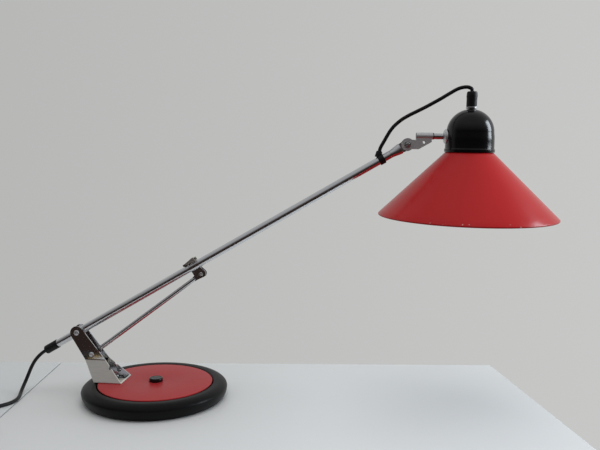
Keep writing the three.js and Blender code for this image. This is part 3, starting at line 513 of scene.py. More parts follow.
def turned(name, profile, matrix=UPRIGHT, segments=96, closed=True, soft=0.3):
    """A solid of revolution about the frame's Z from (radius, height) points."""
    points = softened(profile, soft, closed)
    around = [(math.cos(math.tau * k / segments), math.sin(math.tau * k / segments)) for k in range(segments)]
    vertices = [(r * c, r * s, z) for r, z in points for c, s in around]
    rows = len(points)
    faces = []
    for i in range(rows if closed else rows - 1):
        j = (i + 1) % rows
        for k in range(segments):
            n = (k + 1) % segments
            faces.append((i * segments + k, i * segments + n, j * segments + n, j * segments + k))
    made = new_object(name, vertices, faces, matrix)
    tidy(made)
    return made


def tidy(obj):
    """Drops the faces that shrink to nothing on an axis."""
    bm = bmesh.new()
    bm.from_mesh(obj.data)
    bmesh.ops.dissolve_degenerate(bm, edges=bm.edges, dist=1e-7)
    bmesh.ops.recalc_face_normals(bm, faces=bm.faces)
    bm.to_mesh(obj.data)
    bm.free()


def slab(name, outline, low, high, matrix=UPRIGHT):
    """An outline in X and Z given thickness along Y."""
    count = len(outline)
    vertices = [(x, low, z) for x, z in outline] + [(x, high, z) for x, z in outline]
    faces = [tuple(range(count)), tuple(range(2 * count - 1, count - 1, -1))]
    for i in range(count):
        j = (i + 1) % count
        faces.append((i, count + i, count + j, j))
    return new_object(name, vertices, faces, matrix)


def block(name, x0, x1, y0, y1, z0, z1, matrix=UPRIGHT):
    return slab(name, [(x0, z0), (x1, z0), (x1, z1), (x0, z1)], y0, y1, matrix)


def drum(name, radius, low, high, matrix=UPRIGHT, segments=64):
    return turned(name, [(0, low), (radius, low), (radius, high), (0, high)], matrix, segments, False, 0)


def baked(obj):
    """Turns an object's modifiers into its mesh."""
    graph = bpy.context.evaluated_depsgraph_get()
    mesh = bpy.data.meshes.new_from_object(obj.evaluated_get(graph))
    obj.modifiers.clear()
    old = obj.data
    obj.data = mesh
    bpy.data.meshes.remove(old)
    return obj


def worked(obj, tools, kind):
    for tool in tools:
        step = obj.modifiers.new(kind, "BOOLEAN")
        step.operation = kind
        step.solver = "EXACT"
        step.object = tool
        baked(obj)
        bpy.data.objects.remove(tool)
    return obj


def carved(obj, *tools):
    return worked(obj, tools, "DIFFERENCE")


def joined(obj, *tools):
    return worked(obj, tools, "UNION")


def kept(obj, *tools):
    return worked(obj, tools, "INTERSECT")


def eased(obj, width=0.25, segments=2, angle=32):
    """Small rounded edges on a cut piece."""
    step = obj.modifiers.new("edges", "BEVEL")
    step.width = width * MM
    step.segments = segments
    step.limit_method = "ANGLE"
    step.angle_limit = math.radians(angle)
    step.harden_normals = False
    step.use_clamp_overlap = True
    baked(obj)
    obj["eased"] = True
    return obj


def smooth(obj, angle=38):
    mesh = obj.data
    mesh.shade_smooth()
    mesh.set_sharp_from_angle(angle=math.radians(angle))
    return obj


def shown(obj, body, slot, *nodes, material=None, angle=38):
    """Finishes a piece: smooth faces, its material, the body it rides on and the nodes it stands for."""
    smooth(obj, angle)
    obj.data.materials.clear()
    obj.data.materials.append(material or finish(slot))
    if obj.get("eased"):
        step = obj.modifiers.new("flat faces", "WEIGHTED_NORMAL")
        step.keep_sharp = True
        step.weight = 100
    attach(obj, body)
    if nodes:
        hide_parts(*nodes)
    return obj


def dressed(slot, *names, width=0.25):
    """Gives frame nodes that stay as they are their material and small rounded edges."""
    for name in names:
        node = frame["nodes"][name]
        node.data.materials.clear()
        node.data.materials.append(finish(slot))
        smooth(node)
        if width:
            step = node.modifiers.new("edges", "BEVEL")
            step.width = width * MM
            step.segments = 2
            step.limit_method = "ANGLE"
            step.angle_limit = math.radians(40)


# ---- cords --------------------------------------------------------------------------------------
CORD_ROUTE = (
    (-0.1760, 0, 0.06530), (-0.1814, 0, 0.0616), (-0.1878, 0, 0.0558), (-0.1940, 0, 0.0484),
    (-0.1995, 0, 0.0390), (-0.2036, -0.0006, 0.0292), (-0.2066, -0.0030, 0.0196),
    (-0.2084, -0.0080, 0.0110), (-0.2080, -0.0160, 0.0049), (-0.2046, -0.0260, 0.00275),
    (-0.2002, -0.0370, 0.0027), (-0.1974, -0.0490, 0.0027), (-0.1982, -0.0610, 0.0027),
    (-0.2032, -0.0720, 0.0027), (-0.2110, -0.0810, 0.0032), (-0.2194, -0.0870, 0.0060),
(-0.2257, -0.0896, 0.0082), )
CORD_BEND = (
    (-0.2550, -0.0898, 0.0082), (-0.2843, -0.0900, 0.0082), (-0.2900, -0.0916, 0.0064),
    (-0.2974, -0.0964, 0.0036), (-0.3032, -0.1044, 0.0027), (-0.3062, -0.1130, 0.0027),
    (-0.3073, -0.1214, 0.0027),
)
CORD_TAIL = (
    (-0.2510, -0.1784, 0.0188), (-0.2472, -0.1784, 0.0181), (-0.2418, -0.1784, 0.0160),
    (-0.2356, -0.1784, 0.0127), (-0.2296, -0.1784, 0.0095), (-0.2244, -0.1784, 0.0073),
    (-0.2195, -0.1784, 0.0068),
)
FLEX_LOWER = (
    (0.3347, 0.3832), (0.3350, 0.3846), (0.3359, 0.3884), (0.3383, 0.3934), (0.3414, 0.3990),
    (0.3450, 0.4058), (0.3495, 0.4136), (0.3546, 0.4204), (0.3606, 0.4262), (0.3668, 0.4312),
    (0.3732, 0.4352), (0.3796, 0.4388), (0.3860, 0.4420), (0.3923, 0.44525),
)
FLEX_UPPER = (
    (0.3923, 0.44525), (0.3986, 0.4485), (0.4050, 0.4520), (0.4114, 0.4557), (0.4178, 0.4593),
    (0.4240, 0.4630), (0.4302, 0.4669), (0.4364, 0.4707), (0.4426, 0.4744), (0.4484, 0.4769),
    (0.4540, 0.4781), (0.4590, 0.4782), (0.4628, 0.4769), (0.4650, 0.4748), (0.4655, 0.4712),
)
COIL_TURNS = 7.25
COIL_LAYERS = 4


def curve_through(points, spacing=0.003):
    """A smooth line through the points, with points close together."""
    places = [Vector(p) for p in points]
    ends = [places[0] * 2 - places[1], *places, places[-1] * 2 - places[-2]]
    made = []
    for i in range(1, len(ends) - 2):
        a, b, c, d = ends[i - 1:i + 3]
        steps = max(2, round((c - b).length / spacing))
        for k in range(steps):
            t = k / steps
            made.append(0.5 * (2 * b + (c - a) * t + (2 * a - 5 * b + 4 * c - d) * t ** 2
                               + (3 * b - a - 3 * c + d) * t ** 3))
    made.append(places[-1])
    return made


def coil_line():
    """The coil, turn by turn: in and out by layers, each layer one cord higher."""
    s = sizes()
    centre = middle("cord_coil")
    per_layer = COIL_TURNS / COIL_LAYERS
    steps = round(COIL_TURNS * 40)
    made = []
    for k in range(steps + 1):
        turn = COIL_TURNS * k / steps
        layer = min(int(turn / per_layer), COIL_LAYERS - 1)
        within = turn - layer * per_layer
        inward = within if layer % 2 == 0 else per_layer - within
        radius = s.coil_radius - s.coil_pitch * inward
        ramp = min(1, within * 6) if layer else 1
        height = s.cord_diameter / 2 + s.coil_pitch * (layer - 1 + ramp * ramp * (3 - 2 * ramp))
        angle = math.pi + math.tau * turn
        x = centre.x + radius * math.cos(angle)
        y = centre.y + radius * math.sin(angle)
        made.append(Vector((x, y, height)))
    return made


def tube_along(name, line, diameter, sides=16):
    """A round tube round a line of points, with flat ends."""
    count = len(line)
    ways = [(line[min(i + 1, count - 1)] - line[max(i - 1, 0)]).normalized() for i in range(count)]
    across = ways[0].orthogonal().normalized()
    vertices = []
    for point, way in zip(line, ways):
        across = (across - way * across.dot(way)).normalized()
        other = way.cross(across)
        for k in range(sides):
            a = math.tau * k / sides
            vertices.append((point + (across * math.cos(a) + other * math.sin(a)) * diameter / 2) / MM)
    faces = [tuple(range(sides - 1, -1, -1)), tuple(range((count - 1) * sides, count * sides))]
    for i in range(count - 1):
        for k in range(sides):
            n = (k + 1) % sides
            faces.append((i * sides + k, i * sides + n, (i + 1) * sides + n, (i + 1) * sides + k))
    return new_object(name, vertices, faces)


def line_length(line):
    return sum((b - a).length for a, b in zip(line, line[1:]))


def cord_look(obj, slot, *nodes):
    smooth(obj, 60)
    obj.data.materials.append(finish(slot))
    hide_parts(*nodes)


def make_mains():
    s = sizes()
    joins = curve_through(CORD_ROUTE + CORD_BEND)
    coil = coil_line()
    tail = curve_through(CORD_TAIL)
    into_coil = curve_through((joins[-1], coil[0]))[1:-1]
    out_of_coil = curve_through((coil[-1], tail[0]))[1:-1]
    line = joins + into_coil + coil + out_of_coil + tail
    mains = tube_along("mains_flex", line, s.cord_diameter)
    cord_look(mains, "cord_black", "mains_cord", "cord_bend", "cord_tail", "cord_coil")
    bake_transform(mains)
    return mains, line


def coil_tie():
    """A flat band round the coil, where the turns run away from the camera."""
    low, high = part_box("cord_coil")
    centre = middle("cord_coil")
    s = sizes()
    inner = (s.coil_radius - s.coil_pitch * COIL_TURNS / COIL_LAYERS - s.cord_diameter / 2) / MM
    outer = (s.coil_radius + s.cord_diameter / 2) / MM
    top = (high.z - low.z) / MM
    wide = 4.5
    outside = softened([
        (inner - 0.25, 0.05), (outer + 0.25, 0.05), (outer + 0.25, top), (inner - 0.25, top)], 3, True, 6)
    inside = softened([(inner + 0.35, 0.6), (outer - 0.35, 0.6), (outer - 0.35, top - 0.7),
                       (inner + 0.35, top - 0.7)], 2.6, True, 6)
    count = len(outside)
    vertices = []
    for ring in (outside, inside):
        for y in (-wide, wide):
            vertices += [(x, y, z) for x, z in ring]
    faces = []
    for i in range(count):
        j = (i + 1) % count
        faces.append((i, j, count + j, count + i))
        faces.append((2 * count + i, 3 * count + i, 3 * count + j, 2 * count + j))
        faces.append((i, 2 * count + i, 2 * count + j, j))
        faces.append((count + i, count + j, 3 * count + j, 3 * count + i))
    place = Matrix.Translation((centre.x, centre.y, 0)) @ Matrix.Rotation(math.radians(20), 4, "Z")
    tie = new_object("coil_tie", vertices, faces, place)
    eased(tie, 0.2)
    return shown(tie, "turntable", "black_rubber")


def declare_mains(line, tie):
    line_length(line)


def make_flex():
    s = sizes()
    lean = (HEAD_FRAME @ Vector((0, 0, 0.0648))).y
    lower_line = curve_through([(x, 0, z) for x, z in FLEX_LOWER], 0.002)
    upper_line = curve_through([(x, max(0, (x - 0.440) / 0.0255) * lean, z) for x, z in FLEX_UPPER], 0.002)
    lower = tube_along("head_flex_lower", lower_line, s.flex_diameter, 20)
    upper = tube_along("head_flex_upper", upper_line, s.flex_diameter, 20)
    cord_look(lower, "cord_black", "flex_lower")
    cord_look(upper, "cord_black", "flex_upper")
    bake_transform(lower)
    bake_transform(upper)
    for flex, line in ((lower, lower_line), (upper, upper_line)):
        line_length(line)


# ---- base and turntable -------------------------------------------------------------------------
def make_base():
    s = sizes()
    radius, height = s.base_radius / MM, s.base_height / MM
    bore = s.disc_radius / MM + 1.5
    crown = radius - 14
    waist = 14.8
    shoulder = [(crown + (radius - crown) * u, waist + (height - waist) * v)
                for u, v in arc(0, 0, 1, 0, 90, 14)]
    ring = turned("base_rim", [
        (bore, 2.6), (100.6, 2.6), (100.6, 1), (radius - 5.6, 1), (radius - 2.6, 5),
        (radius - 0.7, waist - 5), *shoulder, (bore + 2, height - 0.3), (bore, height - 1.6)],
        segments=180, soft=0.8)
    shown(ring, "base", "base_paint", "base_ring")
    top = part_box("centre_cap")[1].z / MM
    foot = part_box("centre_cap")[0].z / MM
    cap = turned("centre_knob", [
        (0, top), (4, top - 0.05), (7.4, top - 0.35), *arc(8.4, top - 2, 2, 78, 0, 8), (10.4, foot),
        (7.9, foot), (7.9, foot + 4.1), (0, foot + 4.1)], segments=96, closed=False, soft=0.25)
    shown(cap, "base", "knob_black", "centre_cap")
    dressed("felt", "felt_pad", width=0.4)
    dressed("ballast_iron", "ballast_weight", width=0.4)
    dressed("plated_steel", "swivel_bolt", "swivel_nut")
    dressed("nylon", "thrust_washer")


def make_disc():
    s = sizes()
    radius, top = s.disc_radius / MM, s.disc_top / MM
    disc = turned("turntable_plate", [
        (4.3, top - 2), (radius - 0.6, top - 2), (radius, top - 1.4), (radius, top - 0.6),
        (radius - 0.6, top), (4.3, top)], segments=180, soft=0.25)
    holes = [drum("hole", 2.3, -5, 5, shift(-68, y, top - 1), 32) for y in (-12, 12)]
    carved(disc, *holes)
    shown(disc, "turntable", "turntable_red", "turntable_disc", angle=30)


# ---- bracket ------------------------------------------------------------------------------------
HEAD_RADIUS = 10.2
CREASE = 55.5
HALF_TOP = 8.5
HALF_FLOOR = 22.5


def touch(point, centre, radius, side):
    away = Vector((point[0] - centre[0], point[1] - centre[1]))
    return math.degrees(math.atan2(away.y, away.x) + side * math.acos(radius / away.length))


def bracket_side(pivot, floor):
    front, back = (-77.5, CREASE), (-109.5, CREASE)
    start = touch(front, pivot, HEAD_RADIUS, 1)
    end = touch(back, pivot, HEAD_RADIUS, -1) + 360
    return [*arc(*pivot, HEAD_RADIUS, start, end, 44), back, (-89.4, floor - 1), (-46.6, floor - 1), front]


def bracket_channel(floor, top, sheet):
    """The bent section of the sheet, in Y and Z."""
    spread, rise = HALF_FLOOR - HALF_TOP, CREASE - floor
    slant = math.hypot(spread, rise)
    inner = HALF_TOP - sheet

    def inside(z):
        return HALF_TOP + spread * (CREASE - z) / rise - sheet * slant / rise

    crease = CREASE - (inner - inside(CREASE)) * rise / spread
    outer_half = [(HALF_TOP, top), (HALF_TOP, CREASE), (HALF_FLOOR, floor)]
    inner_half = [(inner, top), (inner, crease), (inside(floor + sheet), floor + sheet)]
    section = outer_half + [(-y, z) for y, z in reversed(outer_half)]
    section += [(-y, z) for y, z in inner_half] + list(reversed(inner_half))
    return softened(section, 1.2, True, 5)


def make_bracket():
    s = sizes()
    sheet = s.sheet / MM
    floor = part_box("arm_bracket")[0].z / MM
    pivot = (PIVOT.x / MM, PIVOT.z / MM)
    section = bracket_channel(floor, pivot[1] + HEAD_RADIUS + 5, sheet)
    turn = Matrix.Rotation(math.pi / 2, 4, "Z")
    channel = slab("bracket", section, 20, 160, turn)
    kept(channel, slab("side", bracket_side(pivot, floor), -40, 40))
    holes = [drum("hole", 2.8, -40, 40, shift(pivot[0], 0, pivot[1]) @ ALONG_Y),
             drum("hole", 2.5, -40, 40, Matrix.Translation(STRUT_FOOT) @ ALONG_Y)]
    holes += [drum("hole", 2.3, 0, 60, shift(-68, y, 0), 32) for y in (-12, 12)]
    carved(channel, *holes)
    eased(channel, 0.3, 3)
    shown(channel, "turntable", "chrome_sheet", "arm_bracket", angle=30)
    for side, name in ((-1, "near"), (1, "far")):
        bracket_fixings(side, name, floor + sheet)
    dressed("plated_steel", "bracket_nut_plate")


def bracket_fixings(side, name, floor):
    turn = ALONG_Y if side > 0 else Matrix.Rotation(math.pi / 2, 4, "X")
    face = HALF_TOP + 0.3
    pivot = turned(f"pivot_bolt_{name}", [
        (0, 3.5), (2.5, 3.5), (2.5, face), (4.2, face), (4.15, face + 0.5), (3.7, face + 1.15),
        (2.4, face + 1.55), (0, face + 1.6)], Matrix.Translation(PIVOT) @ turn, 64, False, 0.3)
    shown(pivot, "turntable", "chrome_small", f"pivot_screw_{name}")
    pin = turned(f"strut_rivet_{name}", [
        (0, 3.2), (2.2, 3.2), (2.2, face), (3.8, face), (3.7, face + 0.7), (3.1, face + 1.4),
        (1.8, face + 1.9), (0, face + 2)], Matrix.Translation(STRUT_FOOT) @ turn, 64, False, 0.3)
    shown(pin, "turntable", "chrome_small", f"strut_pin_{name}")
    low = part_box(f"bracket_screw_{name}")[0].z / MM
    top = floor + 0.3
    screw = turned(f"floor_screw_{name}", [
        (0, low), (2, low), (2, top), (4, top), (3.9, top + 0.8), (3.2, top + 1.5),
        (1.6, top + 1.95), (0, top + 2)],
        shift(-68, 12 * side, 0), 64, False, 0.2)
    carved(screw, block("slot", -6, 6, -0.45, 0.45, top + 1, top + 4, shift(-68, 12 * side, 0)))
    shown(screw, "turntable", "plated_steel", f"bracket_screw_{name}")


# ---- arm ----------------------------------------------------------------------------------------
FITTING_START = 28.7
FITTING_END = 11.2


def make_arm():
    s = sizes()
    radius = s.tube_radius / MM
    end = ARM_LENGTH - FITTING_START
    along = ARM_FRAME @ ALONG_X
    tube = turned("arm_pipe", [(5, -58), (radius, -58), (radius, end), (5, end)], along, 96, True, 0.3)
    slot = block("slot", ARM_LENGTH - 50.2, ARM_LENGTH - 39.7, -3, 3, 0, 8, ARM_FRAME)
    carved(tube, slot, drum("hole", 2.8, -20, 20, ARM_FRAME @ ALONG_Y))
    shown(tube, "arm", "chrome_tube", "arm_tube", angle=30)
    cap = turned("tail_sleeve", [
        (6.2, -39.4), (6.25, -58.3), (3.0, -58.3), (3.0, -61.2), (5.1, -61.2), (6.3, -60.7), (6.8, -59.4),
        (6.78, -56), (6.74, -50), (6.8, -44), (6.78, -39.6), (6.6, -38.8), (6.3, -38.9)],
        along, 96, True, 0.35)
    shown(cap, "arm", "black_rubber", "tail_cap")
    dressed("nylon", "pivot_saddle_near", "pivot_saddle_far")
    dressed("cord_black", "inner_flex", width=0)
    make_grommet(along)
    make_arm_end(along)


def make_grommet(along):
    start, end = ARM_LENGTH - 47.7, ARM_LENGTH - 39.2
    rise = math.radians(49.8)
    tip = Matrix.Translation(ARM_FRAME @ Vector(((ARM_LENGTH - 40.1) * MM, 0, 12.2 * MM)))
    spout_frame = tip @ Matrix.Rotation(-ARM_RISE, 4, "Y") @ Matrix.Rotation(math.pi / 2 - rise, 4, "Y")
    band = turned("cable_sleeve", [
        (6.3, start), (7.4, start), (7.6, start + 0.7), (7.6, end - 0.7), (7.4, end), (6.3, end)],
        along, 96, True, 0.4)
    spout = turned("spout", [(0, -9), (5.4, -9), (5.1, -6), (4.8, -3.5), (4.4, -1.2), (3.9, 0), (0, 0)],
                   spout_frame, 64, False, 0.5)
    joined(band, spout)
    carved(band, drum("bore", 6.3, start - 9, end + 9, along), drum("bore", 3.0, -14, 3, spout_frame))
    eased(band, 0.25, 2, 40)
    shown(band, "arm", "black_rubber", "cable_grommet", angle=40)


def make_arm_end(along):
    """The round tube end, flattened sideways into the knuckle's tongue."""
    start, end = ARM_LENGTH - FITTING_START + 0.3, ARM_LENGTH - FITTING_END
    vertices = []
    rows, segments = 16, 64
    for i in range(rows + 1):
        t = i / rows
        ease = t * t * (3 - 2 * t)
        wide = 6 + (4.6 - 6) * ease
        tall = 6 + (8 - 6) * ease
        for k in range(segments):
            a = math.tau * k / segments
            vertices.append((start + (end - start) * t, wide * math.cos(a), tall * math.sin(a)))
    faces = [tuple(range(segments)), tuple(range((rows + 1) * segments - 1, rows * segments - 1, -1))]
    for i in range(rows):
        for k in range(segments):
            n = (k + 1) % segments
            faces.append((i * segments + k, (i + 1) * segments + k, (i + 1) * segments + n, i * segments + n))
    body = new_object("arm_knuckle", vertices, faces, ARM_FRAME)
    root = end - 3
    nose = [*arc(ARM_LENGTH, 0, 8.3, -90, 90, 36), (root, 6.7), (root, -6.7)]
    tongue = slab("tongue", nose, -2.5, 2.5, ARM_FRAME)
    spigot = drum("spigot", 4.7, start - 7.3, start + 0.7, along)
    joined(body, tongue, spigot)
    carved(body, drum("hole", 2.8, -20, 20, ARM_FRAME @ shift(ARM_LENGTH, 0, 0) @ ALONG_Y))
    eased(body, 0.3, 3, 40)
    shown(body, "arm", "chrome_tube", "arm_end", angle=35)
    face, head = 5.7, 1.3
    rivet = turned("knuckle_pin", [
        (0, -face - head), (2.0, -face - head), (3.1, -face - 0.6), (3.3, -face), (2.5, -face), (2.5, face),
        (3.3, face), (3.1, face + 0.6), (2.0, face + head), (0, face + head)],
        Matrix.Translation(KNUCKLE) @ ALONG_Y, 64, False, 0.25)
    shown(rivet, "arm", "plated_steel", "knuckle_rivet")


# ---- clutch, lever and strut --------------------------------------------------------------------
def make_clutch():
    start, end, middle_s, drop = 204.5, 220, 215.7, -15.9
    along = ARM_FRAME @ ALONG_X
    clip = drum("clutch_clip", 7.3, start, end, along)
    outline = [(start + 0.6, -4.5), (start + 0.9, drop - 3.4), (start + 2.6, drop - 5),
               *arc(middle_s + 1.6, drop, 6, -80, 20, 22), (end - 0.4, -4.5)]
    lugs = [slab("lug", outline, a, b, ARM_FRAME) for a, b in ((-4.5, -3.3), (3.3, 4.5))]
    ear = [*arc(199, 8, 1.7, 100, 260, 20), (200, 5.4), (start + 2, 5.4), (start + 2, 6.9)]
    ears = [slab("ear", ear, a, b, ARM_FRAME) for a, b in ((-4.4, -3.2), (3.2, 4.4))]
    joined(clip, *lugs, *ears)
    pin_frame = ARM_FRAME @ shift(199, 0, 8) @ ALONG_Y
    rivet_frame = ARM_FRAME @ shift(middle_s, 0, drop) @ ALONG_Y
    carved(clip, drum("bore", 6.3, start - 20, end + 20, along),
           drum("hole", 2.1, -20, 20, rivet_frame), drum("hole", 1.0, -20, 20, pin_frame, 32))
    eased(clip, 0.25, 2, 40)
    shown(clip, "slider", "chrome_small", "slider_clip", material=finish("clutch_chrome"), angle=35)
    rivet = turned("clutch_rivet", [
        (0.9, -5.5), (2.3, -5.5), (2.8, -5.1), (2.9, -4.8), (1.8, -4.8), (1.8, 4.8), (2.9, 4.8), (2.8, 5.1),
        (2.3, 5.5), (0.9, 5.5)], rivet_frame, 64, True, 0.2)
    shown(rivet, "slider", "plated_steel", "slider_rivet", material=finish("bright_rivet"))
    dressed("plated_steel", "lever_pin", "lever_spring", width=0.1)
    make_lever(pin_frame)


def make_lever(pin_frame):
    web = slab("thumb_lever", softened([
        (199, 8.5), (206, 9.3), (213, 10.3), (217.4, 11.2), (218.6, 11.4), (218.9, 12.0), (218.2, 12.4),
        (216, 12.15), (210, 11.0), (204, 9.95), (199, 9.5)], 0.4, True, 2), -8.6, 8.6, ARM_FRAME)
    sides = [block("side", 195, 203.5, a, b, 0, 30, ARM_FRAME) for a, b in ((2.9, 20), (-20, -2.9))]
    carved(web, *sides)
    flank = [(203.5, 7.0), (219.2, 4.6), (218.5, 12.2), (203.5, 9.7)]
    flank = softened(flank, 0.8, True, 4)
    flanks = [slab("flank", flank, a, b, ARM_FRAME) for a, b in ((7.6, 8.6), (-8.6, -7.6))]
    joined(web, *flanks, drum("barrel", 1.5, -2.9, 2.9, pin_frame, 40))
    carved(web, drum("hole", 1.0, -20, 20, pin_frame, 32))
    eased(web, 0.25, 2, 40)
    shown(web, "clutch_lever", "chrome_small", "clutch_lever", material=finish("lever_satin"), angle=35)


def make_strut():
    s = sizes()
    radius = s.strut_radius / MM
    rod = drum("strut_bar", radius, 12, STRUT_LENGTH - 12, STRUT_FRAME @ ALONG_X)
    for x, way, half in ((0, 1, 2.6), (STRUT_LENGTH, -1, 2.9)):
        reach = x + way * 14
        start, end = (90, 270) if way > 0 else (-90, 90)
        eye = slab("eye", [*arc(x, 0, 5, start, end, 32), (reach, -way * radius), (reach, way * radius)],
                   -half, half, STRUT_FRAME)
        joined(rod, eye)
    carved(rod, drum("hole", 2.1, -20, 20, STRUT_FRAME @ shift(STRUT_LENGTH, 0, 0) @ ALONG_Y))
    eased(rod, 0.4, 3, 40)
    shown(rod, "strut", "chrome_tube", "strut_rod", angle=35)


# ---- link and rolling rod -----------------------------------------------------------------------
SLEEVE_RISE = 12.8


def make_link():
    bore, wall = 4.6, 5.4
    start, end = 12.3, 36.3
    neck_top, neck_low = 6.9, 6.2
    eye = 9.3
    first = math.degrees(math.asin(neck_top / eye))
    last = 360 - math.degrees(math.asin(neck_low / eye))
    outline = [
        *arc(0, 0, eye, first, last, 60),
        (17, -neck_low), (34.6, 4), (34.6, SLEEVE_RISE - 2.4), (start, SLEEVE_RISE - 2.4), (start, neck_top)]
    on_rod = LINK_FRAME @ shift(0, 0, SLEEVE_RISE) @ ALONG_X
    link = drum("head_hinge", wall, start, end, on_rod)
    leaves = [slab("leaf", outline, a, b, LINK_FRAME) for a, b in ((2.8, 4.3), (-4.3, -2.8))]
    joined(link, *leaves)
    carved(link, drum("bore", bore, 0, 60, on_rod),
           block("room", 0, 60, -2.8, 2.8, 0, SLEEVE_RISE, LINK_FRAME),
           drum("hole", 2.8, -20, 20, LINK_FRAME @ ALONG_Y),
           drum("hole", 2.2, -20, 20, LINK_FRAME @ shift(23.9, 0, 3.6) @ ALONG_Y))
    eased(link, 0.25, 2, 40)
    shown(link, "link", "chrome_small", "head_link", material=finish("chrome_small"), angle=35)
    for side, name in ((1, "far"), (-1, "near")):
        turn = ALONG_Y if side > 0 else Matrix.Rotation(math.pi / 2, 4, "X")
        washer = turned(
            f"hinge_washer_{name}", [(2.8, 4.6), (4.7, 4.6), (5, 4.9), (4.9, 5.2), (4.6, 5.4), (2.8, 5.4)],
            LINK_FRAME @ turn, 64, True, 0.15)
        shown(washer, "link", "plated_steel", f"knuckle_washer_{name}")


def make_rod():
    s = sizes()
    radius = s.rod_radius / MM
    face = -s.dome_radius / MM
    reach = (HEAD.x - KNUCKLE.x) / MM
    back, front = 12.3 - reach, 36.3 - reach
    along = HEAD_FRAME @ ALONG_X
    rod = turned("head_bar", [
        (0, back + 1.5), (radius, back + 1.5), (radius, front + 1.4), (4.5, front + 1.4), (4.5, face - 3.9),
        (3, face - 3.9), (3, face + 8.2), (0, face + 8.2)], along, 96, False, 0.3)
    shown(rod, "head", "chrome_tube", "head_rod")
    washer = turned("rod_washer", [
        (4.6, front + 0.3), (5.1, front + 0.3), (5.1, front + 1.1), (4.6, front + 1.1)],
        along, 96, True, 0.1)
    shown(washer, "head", "black_rubber", "fibre_washer")
    plate = turned("saddle_washer", [
        (0, face - 3.6), (6, face - 3.6), (7.6, face - 3.3), (9, face - 2.6), (10.2, face - 1.7),
        (10.9, face - 0.8), (11, face + 3), (0, face + 3)], along, 96, False, 0.3)
    carved(plate, drum("skin", s.dome_radius / MM + 0.3, -40, 40, HEAD_FRAME, 180),
           drum("hole", 3.3, face - 20, face + 20, along))
    eased(plate, 0.2, 2, 40)
    shown(plate, "head", "chrome_small", "saddle_plate", angle=35)
    dressed("plated_steel", "rod_nut", "entry_nipple")


# ---- dome, relief, shade, holder and bulb -------------------------------------------------------
def make_dome():
    s = sizes()
    radius = s.dome_radius / MM
    top, shoulder, foot, wall = radius - 0.8, 6, -22.3, 2
    bore = 5.3
    inner = top - wall
    profile = [
        (36, foot), (36, foot + 4.3), (radius + 0.4, foot + 5.1), (radius + 0.2, -6),
        (radius, shoulder - 6), *arc(0, shoulder, top, 0, 81, 40),
        (bore, math.sqrt(inner ** 2 - bore ** 2) + shoulder),
        *arc(0, shoulder, inner, 76, 0, 20), (radius - wall, foot)]
    dome = turned("dome_shell", profile, HEAD_FRAME, 160, True, 0.35)
    carved(dome, drum("hole", 3.3, -radius - 20, 20 - radius, HEAD_FRAME @ ALONG_X))
    shown(dome, "head", "dome_gloss", "dome_cap", angle=30)
    low = shoulder + top + 0.3
    ring = turned("relief_ring", [
        (5.3, low), (7.6, low), (7.8, low + 0.4), (7.8, low + 2.5), (7.5, low + 2.9), (5.3, low + 2.9)],
        HEAD_FRAME, 96, True, 0.2)
    shown(ring, "head", "plated_steel", "nipple_ring")
    foot = low + 3.2
    height = 21.5
    relief = turned("flex_relief", [
        (5.3, foot), (7.3, foot), (7.5, foot + 0.4), (7.45, foot + height * 0.3),
        (7.5, foot + height * 0.5), (7.8, foot + height * 0.7), (7.5, foot + height * 0.88),
        (7.0, foot + height - 0.6), (6.3, foot + height), (3, foot + height), (3, 50.3), (5.3, 50.3)],
        HEAD_FRAME, 96, True, 0.6)
    shown(relief, "head", "black_rubber", "strain_relief")


def make_shade():
    s = sizes()
    rim, top, height = s.shade_rim / MM, s.shade_top / MM, s.shade_height / MM
    high = -22.3 - 0.3
    low = high - height
    wall, throat, bead = 0.9, 19.2, 2.4
    slope = (rim - top) / height
    skin = wall * math.hypot(1, slope)
    inner_top = top - skin + slope * wall
    steps = 12
    outside = [(top + (rim - top) * i / steps, high - height * i / steps) for i in range(steps + 1)]
    inside = [(rim - skin + (inner_top - rim + skin) * i / steps, low + (height - wall) * i / steps)
              for i in range(steps + 1)]
    lip = [(rim + 0.35, low - 0.5), (rim + 0.5, low - bead * 0.5), (rim + 0.3, low - bead * 0.85),
           (rim - 0.6, low - bead), (rim - 1.6, low - bead * 0.9), (rim - 1.9, low - bead * 0.5)]
    shade = turned("cone_shade", [(throat, high), *outside, *lip, *inside, (throat, high - wall)],
                   HEAD_FRAME, 220, True, 0.3)
    shown(shade, "head", "shade_red", "shade_cone", angle=30)
    shade.data.materials.append(finish("shade_lining"))
    down = (HEAD_FRAME.to_3x3() @ Vector((0, 0, -1))).normalized()
    centre = HEAD_FRAME @ Vector((0, 0, 0))
    for face in shade.data.polygons:
        outward = face.center - centre
        outward -= down * outward.dot(down)
        depth = (face.center - centre).dot(down) / MM
        if face.normal.dot(outward.normalized()) < -0.05 and depth < -low + 0.2 or (
                face.normal.dot(down) > 0.9 and depth < -high + 1.5):
            face.material_index = 1
    make_holder()


